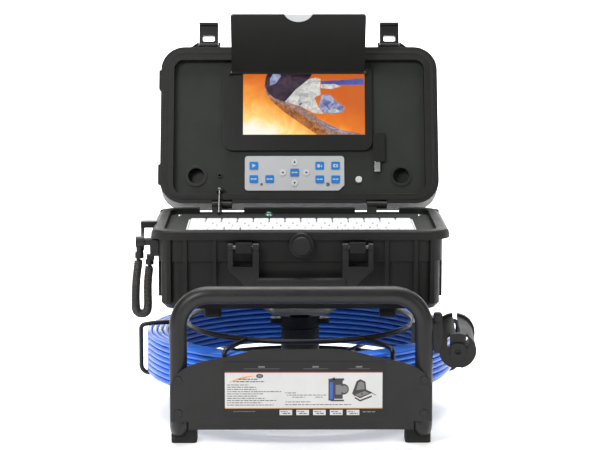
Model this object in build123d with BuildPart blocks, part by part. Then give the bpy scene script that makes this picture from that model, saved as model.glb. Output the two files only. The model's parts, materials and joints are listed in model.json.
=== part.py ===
from build123d import *
import os
from math import cos, pi, radians, sin, tan

# A pipe inspection camera: a control case with an open lid stands on a bracket over a push-cable reel,
# inside a stand of bent tube. Millimetres, +Z up, front towards -Y, origin under the middle of the stand.

os.makedirs("parts", exist_ok=True)


def save(piece, node):
    """Label a finished piece and write it to its own file."""
    piece.part.label = node
    export_step(piece.part, f"parts/{node}.step")


# ---------------------------------------------------------------- driving dimensions
CENTRE_Y = -5.0  # reel axis and case centre, front to back

TUBE_R = 10.0
TUBE_WALL = 2.0
HOOP_X = 138.0  # centreline of the stand's legs
HOOP_REACH = 195.0  # reel axis to the centreline of each hoop
HOOP_TOP = 171.0
RAIL_Z = 14.0
CORNER_R = 36.0
ELBOW_R = 18.0

PLATE_X = 146.5
PLATE_BOTTOM, PLATE_SIDE_TOP, PLATE_TOP = 19.6, 87.8, 111.0
PLATE_THICK = 2.5
PLATE_NOTCH_W, PLATE_NOTCH_H = 20.0, 9.5  # room for the hoop's elbows

BAR_THICK, BAR_W = 5.0, 30.0
BAR_OFFSET = 50.0  # crossbars, either side of the reel axis
POST_R = 13.0
POST_TOP = 118.0
POST_BORE_R = 7.0
FLANGE_W, FLANGE_D, FLANGE_THICK = 134.0, 130.0, 4.0
FLANGE_BOLT_X = 55.0

BOLT_R, BOLT_HOLE_R = 2.9, 3.0
BOLT_HEAD_R, BOLT_HEAD_H, BOLT_TAPER = 5.0, 2.4, 25

COIL_IN, COIL_OUT = 160.1, 185.3
COIL_BOTTOM, COIL_TOP = 46.0, 97.2
CABLE_R = 3.1
BASKET_WIRE_R = 2.7
BASKET_R = 192.0
BASKET_RING_R = 137.0
BASKET_BOTTOM_R = 158.0
BASKET_LOOPS, BASKET_TURN = 6, 3.0

CASE_X, CASE_Y = 163.0, 95.0  # half sizes of the case body
CASE_BOTTOM, CASE_TOP = 136.0, 229.6
CASE_WALL = 4.0
CASE_CORNER_R = 20.0
RIM_X, RIM_Y, RIM_BOTTOM = 174.7, 103.0, 219.0
RIM_CORNER_R = 30.0
BAND_BOTTOM = 193.0
BAND_PROUD = 3.0
RIM_CHAMFER = 6.0
DECK_TOP = 223.0
DECK_THICK = 4.0

HINGE_Y = CENTRE_Y + RIM_Y
HINGE_Z = 232.0
HINGE_X = 96.5
HINGE_PIN_R = 2.0
HINGE_SLOT_X = 27.5  # half width of the gap in the rim at each hinge
HINGE_SLOT_FLOOR = 223.8

LID_LEAN = 22.0  # open lid, from vertical
LID_START, LID_END = 2.0, 207.0  # along the lid, from the hinge
LID_BACK, LID_FRONT = -40.0, 2.0  # through the lid, from the hinge plane
LID_WALL = 4.0
PANEL_X, PANEL_START, PANEL_END = 158.0, 14.5, 190.0
PANEL_FACE, PANEL_BACK = -8.0, -11.0

SCREEN_X, SCREEN_S = 6.0, 135.6  # centre of the picture
SCREEN_W, SCREEN_H = 154.0, 86.0
MONITOR_X0, MONITOR_X1 = -96.0, 92.0
MONITOR_S0, MONITOR_S1 = 72.0, 188.0
MONITOR_FACE = -3.0

VISOR_S = 174.0
VISOR_X = -1.2
VISOR_W, VISOR_LENGTH = 168.5, 90.0
VISOR_LEAN = 32.0  # raised visor, forward from vertical

LATCH_X, LATCH_W = 115.0, 24.0
LATCH_PIVOT_S, LATCH_PIVOT_W = 211.2, -6.0
LATCH_PIN_R = 1.5

HANDLE_Y, HANDLE_Z = -112.0, 211.0
HANDLE_THICK = 8.0

KEY_PITCH = 19.05
KEY_GAP = 1.0
KEY_ROW_PITCH = 17.3
KEY_TRAVEL = 1.5
KEYBOARD_X, KEYBOARD_FRONT = 1.0, -93.0
KEYBOARD_W, KEYBOARD_D = 271.0, 108.0
KEY_ROWS = [
    [1.25, 1, 1, 1.25, 5, 1, 1.25, 1.25, 1],
    [2.25] + [1] * 10 + [1.75],
    [1.75] + [1] * 10 + [2.25],
    [1.5] + [1] * 11 + [1.5],
    [1] * 12 + [2],
    [1] * 14,
]

VALVE_X, VALVE_Z, VALVE_R = 1.0, 213.0, 15.0

LEAD_R = 5.5  # outer radius of the curly lead
LEAD_Y = -65.0

REEL_AXIS = Axis((0, CENTRE_Y, 0), (0, 0, 1))
REEL_SECTION = Plane(origin=(0, CENTRE_Y, 0), x_dir=(1, 0, 0), z_dir=(0, -1, 0))
LID = Plane(
    origin=(0, HINGE_Y, HINGE_Z),
    x_dir=(1, 0, 0),
    z_dir=(0, -cos(radians(LID_LEAN)), sin(radians(LID_LEAN))),
)


def level(z):
    """Horizontal plane at a height, centred over the reel axis."""
    return Plane(origin=(0, CENTRE_Y, z))


def facing_front(y):
    """Upright plane at a depth, X to the right and Z up, facing -Y."""
    return Plane.XZ.offset(-y)


def facing_side(x):
    """Upright plane across the object, Y to the right and Z up, facing +X."""
    return Plane.YZ.offset(x)


def across_lid(s, w):
    """Y and Z of a point on the open lid: s along it from the hinge, w out of its inner side."""
    point = LID.from_local_coords(Vector(0, s, w))
    return (point.Y, point.Z)


def mirrored(points):
    """An outline's right half followed by its mirror image, both from top to bottom and back."""
    return points + [(-x, y) for x, y in reversed(points)]


# ---------------------------------------------------------------- stand
def hoop_route(side, rail_end):
    """Corners of one hoop: along a rail, up a leg, across, down and back."""
    hoop_y = CENTRE_Y + side * HOOP_REACH
    half = [(rail_end, RAIL_Z), (hoop_y, RAIL_Z), (hoop_y, HOOP_TOP)]
    left = [(-HOOP_X, y, z) for y, z in half]
    right = [(HOOP_X, y, z) for y, z in reversed(half)]
    return left + right


HOOP_RADII = [ELBOW_R, CORNER_R, CORNER_R, ELBOW_R]
SPIGOT_LENGTH = 25.0

with BuildPart() as front_hoop:
    with BuildLine() as front_path:
        FilletPolyline(*hoop_route(-1, CENTRE_Y), radius=HOOP_RADII)
    with BuildSketch(Plane(origin=front_path.line @ 0, z_dir=front_path.line % 0)):
        Circle(TUBE_R)
        Circle(TUBE_R - TUBE_WALL, mode=Mode.SUBTRACT)
    sweep(path=front_path.wire())
save(front_hoop, "front_hoop")

with BuildPart() as rear_hoop:
    with BuildLine() as rear_path:
        FilletPolyline(*hoop_route(1, CENTRE_Y), radius=HOOP_RADII)
    with BuildSketch(Plane(origin=rear_path.line @ 0, z_dir=rear_path.line % 0)):
        Circle(TUBE_R)
        Circle(TUBE_R - TUBE_WALL, mode=Mode.SUBTRACT)
    sweep(path=rear_path.wire())
    # reduced ends that plug into the front hoop's rails
    with BuildSketch(Plane.XZ.offset(-CENTRE_Y - SPIGOT_LENGTH)):
        with Locations((-HOOP_X, RAIL_Z), (HOOP_X, RAIL_Z)):
            Circle(TUBE_R - TUBE_WALL)
            Circle(TUBE_R - 2 * TUBE_WALL, mode=Mode.SUBTRACT)
    extrude(amount=2 * SPIGOT_LENGTH)
save(rear_hoop, "rear_hoop")

with BuildPart() as base_crossbars:
    with BuildSketch(level(RAIL_Z + TUBE_R)):
        with Locations((0, -BAR_OFFSET), (0, BAR_OFFSET)):
            SlotOverall(2 * HOOP_X + BAR_W, BAR_W)
        with GridLocations(2 * HOOP_X, 2 * BAR_OFFSET, 2, 2):
            Circle(BOLT_HOLE_R, mode=Mode.SUBTRACT)
        with GridLocations(2 * FLANGE_BOLT_X, 2 * BAR_OFFSET, 2, 2):
            Circle(BOLT_HOLE_R, mode=Mode.SUBTRACT)
    extrude(amount=BAR_THICK)
save(base_crossbars, "base_crossbars")

FOOT_X, FOOT_W, FOOT_LENGTH, FOOT_H = 132.5, 29.0, 32.0, 27.0
FOOT_REACH = 174.0

with BuildPart() as rubber_feet:
    with BuildSketch(level(0)):
        with GridLocations(2 * FOOT_X, 2 * FOOT_REACH, 2, 2):
            RectangleRounded(FOOT_W, FOOT_LENGTH, 5)
    extrude(amount=FOOT_H)
    chamfer(rubber_feet.edges().group_by(Axis.Z)[-1], length=1.5)
    # recesses that fit round the hoops' elbows
    for hoop_path in (front_path, rear_path):
        with BuildSketch(Plane(origin=hoop_path.line @ 0, z_dir=hoop_path.line % 0)):
            Circle(TUBE_R)
        sweep(path=hoop_path.wire(), mode=Mode.SUBTRACT)
save(rubber_feet, "rubber_feet")

PLATE_BACK_Y = CENTRE_Y - HOOP_REACH - TUBE_R
PLATE_HEAD_H = 0.8
PLATE_BOLTS = [(x, z) for x in (-HOOP_X, HOOP_X) for z in (38.0, 76.0)]

with BuildPart() as front_plate:
    with BuildSketch(facing_front(PLATE_BACK_Y)):
        with BuildLine():
            Polyline(
                (-PLATE_X, PLATE_SIDE_TOP - 16),
                (-PLATE_X, PLATE_BOTTOM + PLATE_NOTCH_H),
                (-PLATE_X + PLATE_NOTCH_W, PLATE_BOTTOM + PLATE_NOTCH_H),
                (-PLATE_X + PLATE_NOTCH_W, PLATE_BOTTOM),
                (PLATE_X - PLATE_NOTCH_W, PLATE_BOTTOM),
                (PLATE_X - PLATE_NOTCH_W, PLATE_BOTTOM + PLATE_NOTCH_H),
                (PLATE_X, PLATE_BOTTOM + PLATE_NOTCH_H),
                (PLATE_X, PLATE_SIDE_TOP - 16),
            )
            Spline(
                (PLATE_X, PLATE_SIDE_TOP - 16),
                (PLATE_X - 13, PLATE_SIDE_TOP),
                (86, PLATE_TOP - 9),
                (55, PLATE_TOP - 1.6),
                (0, PLATE_TOP),
                (-55, PLATE_TOP - 1.6),
                (-86, PLATE_TOP - 9),
                (-PLATE_X + 13, PLATE_SIDE_TOP),
                (-PLATE_X, PLATE_SIDE_TOP - 16),
            )
        make_face()
        with Locations(*PLATE_BOLTS):
            Circle(BOLT_HOLE_R, mode=Mode.SUBTRACT)
    extrude(amount=PLATE_THICK)
save(front_plate, "front_plate")

LABEL_X0, LABEL_X1, LABEL_Z0, LABEL_Z1 = -87.5, 95.3, 34.0, 98.0
LABEL_THICK = 0.3

with BuildPart() as plate_label:
    with BuildSketch(facing_front(PLATE_BACK_Y - PLATE_THICK)):
        with Locations(((LABEL_X0 + LABEL_X1) / 2, (LABEL_Z0 + LABEL_Z1) / 2)):
            RectangleRounded(LABEL_X1 - LABEL_X0, LABEL_Z1 - LABEL_Z0, 1.5)
    extrude(amount=LABEL_THICK)
save(plate_label, "plate_label")

with BuildPart() as frame_bolts:
    # through the front plate, against the legs
    with BuildSketch(facing_front(PLATE_BACK_Y)):
        with Locations(*PLATE_BOLTS):
            Circle(BOLT_R)
    extrude(amount=PLATE_THICK)
    with BuildSketch(facing_front(PLATE_BACK_Y - PLATE_THICK)):
        with Locations(*PLATE_BOLTS):
            Circle(BOLT_HEAD_R)
    extrude(amount=PLATE_HEAD_H, taper=BOLT_TAPER)
    # down through the crossbars, onto the rails, and through the post's flange
    for spread, top in ((2 * HOOP_X, 0.0), (2 * FLANGE_BOLT_X, FLANGE_THICK)):
        with BuildSketch(level(RAIL_Z + TUBE_R)):
            with GridLocations(spread, 2 * BAR_OFFSET, 2, 2):
                Circle(BOLT_R)
        extrude(amount=BAR_THICK + top)
        with BuildSketch(level(RAIL_Z + TUBE_R + BAR_THICK + top)):
            with GridLocations(spread, 2 * BAR_OFFSET, 2, 2):
                Circle(BOLT_HEAD_R)
        extrude(amount=BOLT_HEAD_H, taper=BOLT_TAPER)
save(frame_bolts, "frame_bolts")

FLANGE_BOTTOM = RAIL_Z + TUBE_R + BAR_THICK
BEARING_R = 18.0
BEARING_SPANS = ((46.0, 54.0), (86.0, 94.0))
HUB_R, HUB_BOTTOM, HUB_TOP = 23.0, 36.5, 98.0

with BuildPart() as axle_post:
    with BuildSketch(level(FLANGE_BOTTOM)):
        RectangleRounded(FLANGE_W, FLANGE_D, 12)
        with GridLocations(2 * FLANGE_BOLT_X, 2 * BAR_OFFSET, 2, 2):
            Circle(BOLT_HOLE_R, mode=Mode.SUBTRACT)
    extrude(amount=FLANGE_THICK)
    with BuildSketch(level(FLANGE_BOTTOM + FLANGE_THICK)):
        Circle(POST_R)
    extrude(amount=POST_TOP - FLANGE_BOTTOM - FLANGE_THICK)
    # passage for the slip ring's wires
    with BuildSketch(level(FLANGE_BOTTOM)):
        Circle(POST_BORE_R)
    extrude(amount=POST_TOP - FLANGE_BOTTOM, mode=Mode.SUBTRACT)
save(axle_post, "axle_post")

with BuildPart() as reel_bearings:
    for bottom, top in BEARING_SPANS:
        with BuildSketch(level(bottom)):
            Circle(BEARING_R)
            Circle(POST_R, mode=Mode.SUBTRACT)
        extrude(amount=top - bottom)
save(reel_bearings, "reel_bearings")

SLIP_BOTTOM, SLIP_TOP, SLIP_R = 99.0, 113.0, 24.0

with BuildPart() as slip_ring:
    with BuildSketch(level(SLIP_BOTTOM)):
        Circle(SLIP_R)
        Circle(POST_R, mode=Mode.SUBTRACT)
    extrude(amount=SLIP_TOP - SLIP_BOTTOM)
    with BuildSketch(level(SLIP_BOTTOM + 4)):
        SlotOverall(72, 15)
        Circle(POST_R, mode=Mode.SUBTRACT)
        with Locations((-29, 0), (29, 0)):
            Circle(2.1, mode=Mode.SUBTRACT)
    extrude(amount=6)
save(slip_ring, "slip_ring")

SADDLE_DEPTH = 64.0

with BuildPart() as case_bracket:
    with BuildSketch(facing_front(CENTRE_Y + SADDLE_DEPTH / 2)):
        Polygon(
            *mirrored([(78, CASE_BOTTOM), (78, CASE_BOTTOM - 3), (55, CASE_BOTTOM - 3), (33, POST_TOP)]),
            align=None,
        )
        Polygon(
            *mirrored([(54, CASE_BOTTOM), (52, CASE_BOTTOM - 3), (32, POST_TOP + 3)]),
            align=None,
            mode=Mode.SUBTRACT,
        )
    extrude(amount=SADDLE_DEPTH)
    with BuildSketch(level(POST_TOP)):
        Circle(POST_BORE_R)
    extrude(amount=3, mode=Mode.SUBTRACT)
save(case_bracket, "case_bracket")

# ---------------------------------------------------------------- reel
with BuildPart() as reel_hub:
    with BuildSketch(REEL_SECTION):
        Polygon(
            (BEARING_R + 0.05, HUB_BOTTOM + 8),
            (BEARING_R + 0.05, HUB_TOP),
            (HUB_R, HUB_TOP),
            (HUB_R, HUB_BOTTOM + 14),
            (34, HUB_BOTTOM + 14),
            (34, HUB_BOTTOM + 8),
            align=None,
        )
    revolve(axis=REEL_AXIS)
save(reel_hub, "reel_hub")

WIRE_Z = COIL_BOTTOM - BASKET_WIRE_R - 0.1  # bottom wires, under the coil
OVER_Z = COIL_TOP + BASKET_WIRE_R + 0.3
RING_Z = 106.0
COLLAR_IN, COLLAR_OUT = 34.2, 42.0

with BuildPart() as basket_loop:
    with BuildLine(REEL_SECTION) as loop_path:
        FilletPolyline(
            (COLLAR_OUT - 4, WIRE_Z),
            (BASKET_R, WIRE_Z),
            (BASKET_R, OVER_Z + 2),
            (BASKET_R - 14, OVER_Z + 4),
            (BASKET_RING_R, RING_Z),
            radius=[10, 6, 8],
        )
    with BuildSketch(Plane(origin=loop_path.line @ 0, z_dir=loop_path.line % 0)):
        Circle(BASKET_WIRE_R)
    sweep(path=loop_path.wire())

with BuildPart() as reel_basket:
    with BuildSketch(REEL_SECTION):
        with Locations(((COLLAR_IN + COLLAR_OUT) / 2, WIRE_Z)):
            Rectangle(COLLAR_OUT - COLLAR_IN, 10)
    revolve(axis=REEL_AXIS)
    for ring_r, ring_z in ((BASKET_RING_R, RING_Z), (BASKET_BOTTOM_R, WIRE_Z - 3)):
        with BuildSketch(REEL_SECTION):
            with Locations((ring_r, ring_z)):
                Circle(BASKET_WIRE_R + 0.4)
        revolve(axis=REEL_AXIS)
    for turn in range(BASKET_LOOPS):
        add(basket_loop.part.rotate(REEL_AXIS, BASKET_TURN + turn * 360 / BASKET_LOOPS))
    # gland on the basket's lower ring where the cable is made fast
    with BuildSketch(Plane(origin=(-12, CENTRE_Y + BASKET_BOTTOM_R + 15, WIRE_Z - 3), x_dir=(1, 0, 0))):
        RectangleRounded(22, 36, 3)
    extrude(amount=5)
save(reel_basket, "reel_basket")

with BuildPart() as cable_coil:
    with BuildSketch(REEL_SECTION):
        with Locations(((COIL_IN + COIL_OUT) / 2, (COIL_BOTTOM + COIL_TOP) / 2)):
            RectangleRounded(COIL_OUT - COIL_IN, COIL_TOP - COIL_BOTTOM, 3)
    revolve(axis=REEL_AXIS)
save(cable_coil, "cable_coil")

# free end of the push cable, from the innermost turn to the camera head
TAIL_ROUTE = [
    (-139.3, 75.4, 49.2),
    (-154.0, 24.0, 49.2),
    (-146.0, -34.0, 49.2),
    (-118.0, -78.0, 49.6),
    (-84.0, -103.0, 52.5),
    (-50.0, -109.5, 57.8),
    (-20.0, -109.5, 57.8),
]


def route_radii(points):
    """Largest arc at each corner: 0.45 of its shorter run over the tangent of half its turn."""
    corners = [Vector(*point) for point in points]
    radii = []
    for before, corner, after in zip(corners, corners[1:], corners[2:]):
        run_in, run_out = corner - before, after - corner
        half_turn = radians(run_in.get_angle(run_out)) / 2
        radii.append(0.45 * min(run_in.length, run_out.length) / tan(half_turn))
    return radii


def report_tube(name, tube, path, radius):
    """Print a tube's volume beside its section times its length."""
    section = pi * radius**2 * path.wire().length
    length, volume = path.wire().length, tube.part.volume
    print(f"{name}: length {length:.1f}, volume {volume:.0f}, section x length {section:.0f}")


with BuildPart() as cable_tail:
    tail_radii = route_radii(TAIL_ROUTE)
    print("cable_tail radii", [round(radius, 1) for radius in tail_radii])
    with BuildLine() as tail_path:
        FilletPolyline(*TAIL_ROUTE, radius=tail_radii)
    with BuildSketch(Plane(origin=tail_path.line @ 0, z_dir=tail_path.line % 0)):
        Circle(CABLE_R)
    sweep(path=tail_path.wire())
report_tube("cable_tail", cable_tail, tail_path, CABLE_R)
save(cable_tail, "cable_tail")

HEAD_R, SPRING_R = 11.5, 6.5
HEAD_AXIS = Plane(origin=TAIL_ROUTE[-1], x_dir=(1, 0, 0), z_dir=(0, -1, 0))

with BuildPart() as camera_head:
    with BuildSketch(HEAD_AXIS):
        with BuildLine():
            Polyline(
                (0, 0), (0, SPRING_R), (45, SPRING_R), (47, 8), (52, 8), (55, HEAD_R),
                (80, HEAD_R), (84, 9.5), (84, 7.5), (82, 7.5), (82, 0), (0, 0),
            )
        make_face()
    revolve(axis=Axis(TAIL_ROUTE[-1], (1, 0, 0)))
save(camera_head, "camera_head")

# ---------------------------------------------------------------- holder for the camera head
HOLDER_R, HOLDER_WALL, HOLDER_LENGTH = 21.0, 3.0, 66.0
HOLDER_SLOT = 5.0
HOLDER_FRONT = Vector(177, -190, 104)
HOLDER_REAR = Vector(177.5, -125, 114.5)
HOLDER = Plane(origin=HOLDER_REAR, x_dir=(1, 0, 0), z_dir=HOLDER_FRONT - HOLDER_REAR)

with BuildPart() as camera_holder:
    with BuildSketch(HOLDER):
        Circle(HOLDER_R)
        Circle(HOLDER_R - HOLDER_WALL, mode=Mode.SUBTRACT)
    extrude(amount=HOLDER_LENGTH - 3)
    # rear flange
    with BuildSketch(HOLDER):
        Circle(HOLDER_R + 2.5)
        Circle(HOLDER_R - HOLDER_WALL, mode=Mode.SUBTRACT)
    extrude(amount=5)
    # front cap with its boss
    with BuildSketch(HOLDER.offset(HOLDER_LENGTH - 6)):
        Circle(HOLDER_R)
    extrude(amount=4)
    with BuildSketch(HOLDER.offset(HOLDER_LENGTH - 2)):
        RectangleRounded(17, 20, 6)
        Circle(3.2, mode=Mode.SUBTRACT)
    extrude(amount=2.5)
    # slot along the top, two slots in the cap and a notch below
    with BuildSketch(HOLDER.offset(-1)):
        with Locations((0, HOLDER_R)):
            Rectangle(HOLDER_SLOT, 16)
    extrude(amount=HOLDER_LENGTH - 5, mode=Mode.SUBTRACT)
    with BuildSketch(HOLDER.offset(HOLDER_LENGTH - 7)):
        with Locations((-10.5, 12), (10.5, 12)):
            Rectangle(3, 16)
        with Locations((0, -HOLDER_R)):
            Rectangle(9, 2.4)
    extrude(amount=8, mode=Mode.SUBTRACT)
save(camera_holder, "camera_holder")

CLAMP_Z, CLAMP_H = 116.0, 22.0
CLAMP_Y = CENTRE_Y - HOOP_REACH
CLAMP_R = TUBE_R + 4
ARM_X = 154.0

with BuildPart() as holder_bracket:
    with BuildSketch(Plane(origin=(HOOP_X, CLAMP_Y, CLAMP_Z))):
        Circle(CLAMP_R)
        with Locations((12, 10)):
            Rectangle(16, 9)
        Circle(TUBE_R, mode=Mode.SUBTRACT)
        # nothing in front of the leg's middle
        with Locations((0, -CLAMP_R)):
            Rectangle(4 * CLAMP_R, 2 * CLAMP_R, mode=Mode.SUBTRACT)
    extrude(amount=CLAMP_H)
    # arm beside the leg, from the clamp down to the holder's wall
    with BuildSketch(facing_front(CLAMP_Y + 14)):
        with Locations((ARM_X, CLAMP_Z + 10)):
            RectangleRounded(10, 46, 3)
    extrude(amount=8)
    with BuildSketch(facing_front(CLAMP_Y + 6)):
        with Locations((ARM_X, CLAMP_Z + 28)):
            Circle(2.6)
    extrude(amount=2.5)
    # seat cut to the holder's round wall
    with BuildSketch(HOLDER.offset(-2)):
        Circle(HOLDER_R + 0.05)
    extrude(amount=HOLDER_LENGTH + 8, mode=Mode.SUBTRACT)
save(holder_bracket, "holder_bracket")

# ---------------------------------------------------------------- case
CASE_FOOT_X, CASE_FOOT_Y = 103.0, 68.0
CASE_FOOT_W, CASE_FOOT_H = 20.0, 12.0

with BuildPart() as case_feet:
    with BuildSketch(level(CASE_BOTTOM - CASE_FOOT_H)):
        with GridLocations(2 * CASE_FOOT_X, 2 * CASE_FOOT_Y, 2, 2):
            RectangleRounded(CASE_FOOT_W, CASE_FOOT_W, 4)
    extrude(amount=CASE_FOOT_H)
save(case_feet, "case_feet")

FRONT_RIBS = (100.0, 134.0, 153.0)
SIDE_RIBS = (-45.0, 45.0)
RIM_STRIP_FRONT, RIM_STRIP_BACK = -88.0, 78.0
RIB_W, RIB_BOTTOM = 4.5, CASE_BOTTOM + 8
VALVE_HOLE_R = 9.0
HANDLE_LUG_X, HANDLE_LUG_W = 65.75, 18.5
HANDLE_PIN_R = 2.5
KNUCKLE_R, KNUCKLE_W = 5.0, 12.5

with BuildPart() as case_base:
    with BuildSketch(level(CASE_BOTTOM)):
        RectangleRounded(2 * CASE_X, 2 * CASE_Y, CASE_CORNER_R)
    extrude(amount=CASE_TOP - CASE_BOTTOM)
    chamfer(case_base.edges().group_by(Axis.Z)[0], length=6)
    # band under the rim, and the rim itself
    with BuildSketch(level(BAND_BOTTOM)):
        RectangleRounded(2 * (CASE_X + BAND_PROUD), 2 * (CASE_Y + BAND_PROUD), CASE_CORNER_R + BAND_PROUD)
    extrude(amount=RIM_BOTTOM - BAND_BOTTOM)
    with BuildSketch(level(RIM_BOTTOM)):
        RectangleRounded(2 * RIM_X, 2 * RIM_Y, RIM_CORNER_R)
    extrude(amount=CASE_TOP - RIM_BOTTOM)
    chamfer(case_base.edges().group_by(Axis.Z)[-1], length=1.6)
    # sloped strips along both side edges of the rim
    with BuildSketch(facing_front(RIM_STRIP_BACK)):
        for side in (-1, 1):
            Polygon(
                (side * (RIM_X - RIM_CHAMFER - 1), CASE_TOP + 1),
                (side * (RIM_X + 1), CASE_TOP + 1),
                (side * (RIM_X + 1), CASE_TOP - RIM_CHAMFER - 1),
                align=None,
            )
    extrude(amount=RIM_STRIP_BACK - RIM_STRIP_FRONT, mode=Mode.SUBTRACT)
    # upright ribs on the front, back and sides
    for x in FRONT_RIBS:
        for side in (-1, 1):
            with BuildSketch(level(RIB_BOTTOM)):
                with Locations((side * x, 0)):
                    Rectangle(RIB_W, 2 * (CASE_Y + 6))
            extrude(amount=RIM_BOTTOM - RIB_BOTTOM)
    for y in SIDE_RIBS:
        with BuildSketch(level(RIB_BOTTOM)):
            with Locations((0, y)):
                Rectangle(2 * (CASE_X + 5), RIB_W)
        extrude(amount=RIM_BOTTOM - RIB_BOTTOM)
    # boss for the pressure valve
    with BuildSketch(facing_front(CENTRE_Y - CASE_Y)):
        with Locations((VALVE_X, VALVE_Z)):
            Circle(VALVE_R)
    extrude(amount=RIM_Y - CASE_Y)
    # lugs for the carry handle
    with BuildSketch(facing_front(CENTRE_Y - CASE_Y)):
        with Locations((-HANDLE_LUG_X, HANDLE_Z), (HANDLE_LUG_X, HANDLE_Z)):
            Rectangle(HANDLE_LUG_W, 12)
    extrude(amount=CENTRE_Y - CASE_Y - HANDLE_Y + 6)
    # hollow inside
    with BuildSketch(level(CASE_BOTTOM + CASE_WALL)):
        RectangleRounded(2 * (CASE_X - CASE_WALL), 2 * (CASE_Y - CASE_WALL), CASE_CORNER_R - CASE_WALL)
    extrude(amount=CASE_TOP, mode=Mode.SUBTRACT)
    # ledge that carries the deck panel
    with BuildSketch(level(DECK_TOP - DECK_THICK - 4)):
        RectangleRounded(2 * (CASE_X - CASE_WALL), 2 * (CASE_Y - CASE_WALL), CASE_CORNER_R - CASE_WALL)
        RectangleRounded(2 * (CASE_X - CASE_WALL - 6), 2 * (CASE_Y - CASE_WALL - 1.5), 10, mode=Mode.SUBTRACT)
    extrude(amount=4)
    # valve hole and handle pin holes
    with BuildSketch(facing_front(CENTRE_Y - CASE_Y + 10)):
        with Locations((VALVE_X, VALVE_Z)):
            Circle(VALVE_HOLE_R)
    extrude(amount=40, mode=Mode.SUBTRACT)
    with BuildSketch(facing_side(-90)):
        with Locations((HANDLE_Y, HANDLE_Z)):
            Circle(HANDLE_PIN_R)
    extrude(amount=180, mode=Mode.SUBTRACT)
    # gaps in the rear rim at the hinges, and the hinge knuckles
    with BuildSketch(level(HINGE_SLOT_FLOOR)):
        with Locations((-HINGE_X, RIM_Y), (HINGE_X, RIM_Y)):
            Rectangle(2 * HINGE_SLOT_X, 2 * (RIM_Y - CASE_Y + CASE_WALL + 3))
    extrude(amount=40, mode=Mode.SUBTRACT)
    for side in (-1, 1):
        with BuildSketch(facing_side(side * HINGE_X - KNUCKLE_W)):
            Polygon(
                (CENTRE_Y + CASE_Y - 3, RIM_BOTTOM - 2),
                (CENTRE_Y + CASE_Y + 3, RIM_BOTTOM - 2),
                (HINGE_Y + 4, HINGE_Z - 3),
                (HINGE_Y - 3, HINGE_Z + 2),
                (CENTRE_Y + CASE_Y - 2, RIM_BOTTOM + 3),
                align=None,
            )
            with Locations((HINGE_Y, HINGE_Z)):
                Circle(KNUCKLE_R)
                Circle(HINGE_PIN_R, mode=Mode.SUBTRACT)
        extrude(amount=12.2)
save(case_base, "case_base")

TRAY_Y = KEYBOARD_FRONT + KEYBOARD_D / 2 - CENTRE_Y
DECK_HALF_X, DECK_HALF_Y = CASE_X - CASE_WALL - 0.3, CASE_Y - CASE_WALL - 0.3
SCREW_X, SCREW_Y = 148.0, 74.0
POWER_X, POWER_Y = -38.0, 77.0

with BuildPart() as deck_panel:
    with BuildSketch(level(DECK_TOP - DECK_THICK)):
        RectangleRounded(2 * DECK_HALF_X, 2 * DECK_HALF_Y, CASE_CORNER_R - CASE_WALL)
        with Locations((KEYBOARD_X, TRAY_Y)):
            Rectangle(KEYBOARD_W, KEYBOARD_D, mode=Mode.SUBTRACT)
        with Locations((POWER_X, POWER_Y)):
            Circle(4.5, mode=Mode.SUBTRACT)
        with GridLocations(2 * SCREW_X, 2 * SCREW_Y, 2, 2):
            Circle(1.6, mode=Mode.SUBTRACT)
    extrude(amount=DECK_THICK)
save(deck_panel, "deck_panel")

with BuildPart() as deck_screws:
    with BuildSketch(level(DECK_TOP - DECK_THICK)):
        with GridLocations(2 * SCREW_X, 2 * SCREW_Y, 2, 2):
            Circle(1.5)
    extrude(amount=DECK_THICK)
    with BuildSketch(level(DECK_TOP)):
        with GridLocations(2 * SCREW_X, 2 * SCREW_Y, 2, 2):
            Circle(3.2)
    extrude(amount=1.4, taper=20)
save(deck_screws, "deck_screws")

TRAY_CLEAR = 0.3
BEZEL = 1.8

with BuildPart() as keyboard_tray:
    with BuildSketch(level(210)):
        with Locations((KEYBOARD_X, TRAY_Y)):
            RectangleRounded(KEYBOARD_W - 2 * TRAY_CLEAR, KEYBOARD_D - 2 * TRAY_CLEAR, 3)
    extrude(amount=16)
    with BuildSketch(level(DECK_TOP)):
        with Locations((KEYBOARD_X, TRAY_Y)):
            RectangleRounded(KEYBOARD_W - 2 * BEZEL, KEYBOARD_D - 2 * BEZEL, 2)
    extrude(amount=4, mode=Mode.SUBTRACT)
    # hollow underside for the key matrix
    with BuildSketch(level(210)):
        with Locations((KEYBOARD_X, TRAY_Y)):
            Rectangle(KEYBOARD_W - 8, KEYBOARD_D - 8)
    extrude(amount=10, mode=Mode.SUBTRACT)
save(keyboard_tray, "keyboard_tray")

KEYS_BOTTOM, KEYS_TOP = DECK_TOP + KEY_TRAVEL + 0.3, 228.0
KEYS_WIDTH = 14 * KEY_PITCH

for row, widths in enumerate(KEY_ROWS):
    row_y = KEYBOARD_FRONT + (KEYBOARD_D - 6 * KEY_ROW_PITCH) / 2 + (row + 0.5) * KEY_ROW_PITCH
    starts = [sum(widths[:i]) for i in range(len(widths))]
    with BuildPart() as keys_row:
        for start, width in zip(starts, widths):
            key_x = KEYBOARD_X - KEYS_WIDTH / 2 + (start + width / 2) * KEY_PITCH
            with BuildSketch(Plane(origin=(key_x, row_y, KEYS_BOTTOM))):
                RectangleRounded(width * KEY_PITCH - KEY_GAP, KEY_ROW_PITCH - KEY_GAP, 1.8)
            extrude(amount=KEYS_TOP - KEYS_BOTTOM, taper=6)
    save(keys_row, f"keys_row_{row + 1}")

CASE_FLOOR = CASE_BOTTOM + CASE_WALL
BATTERY_X, BATTERY_Y, BATTERY_H = -85.0, 5.0, 50.0

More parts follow.
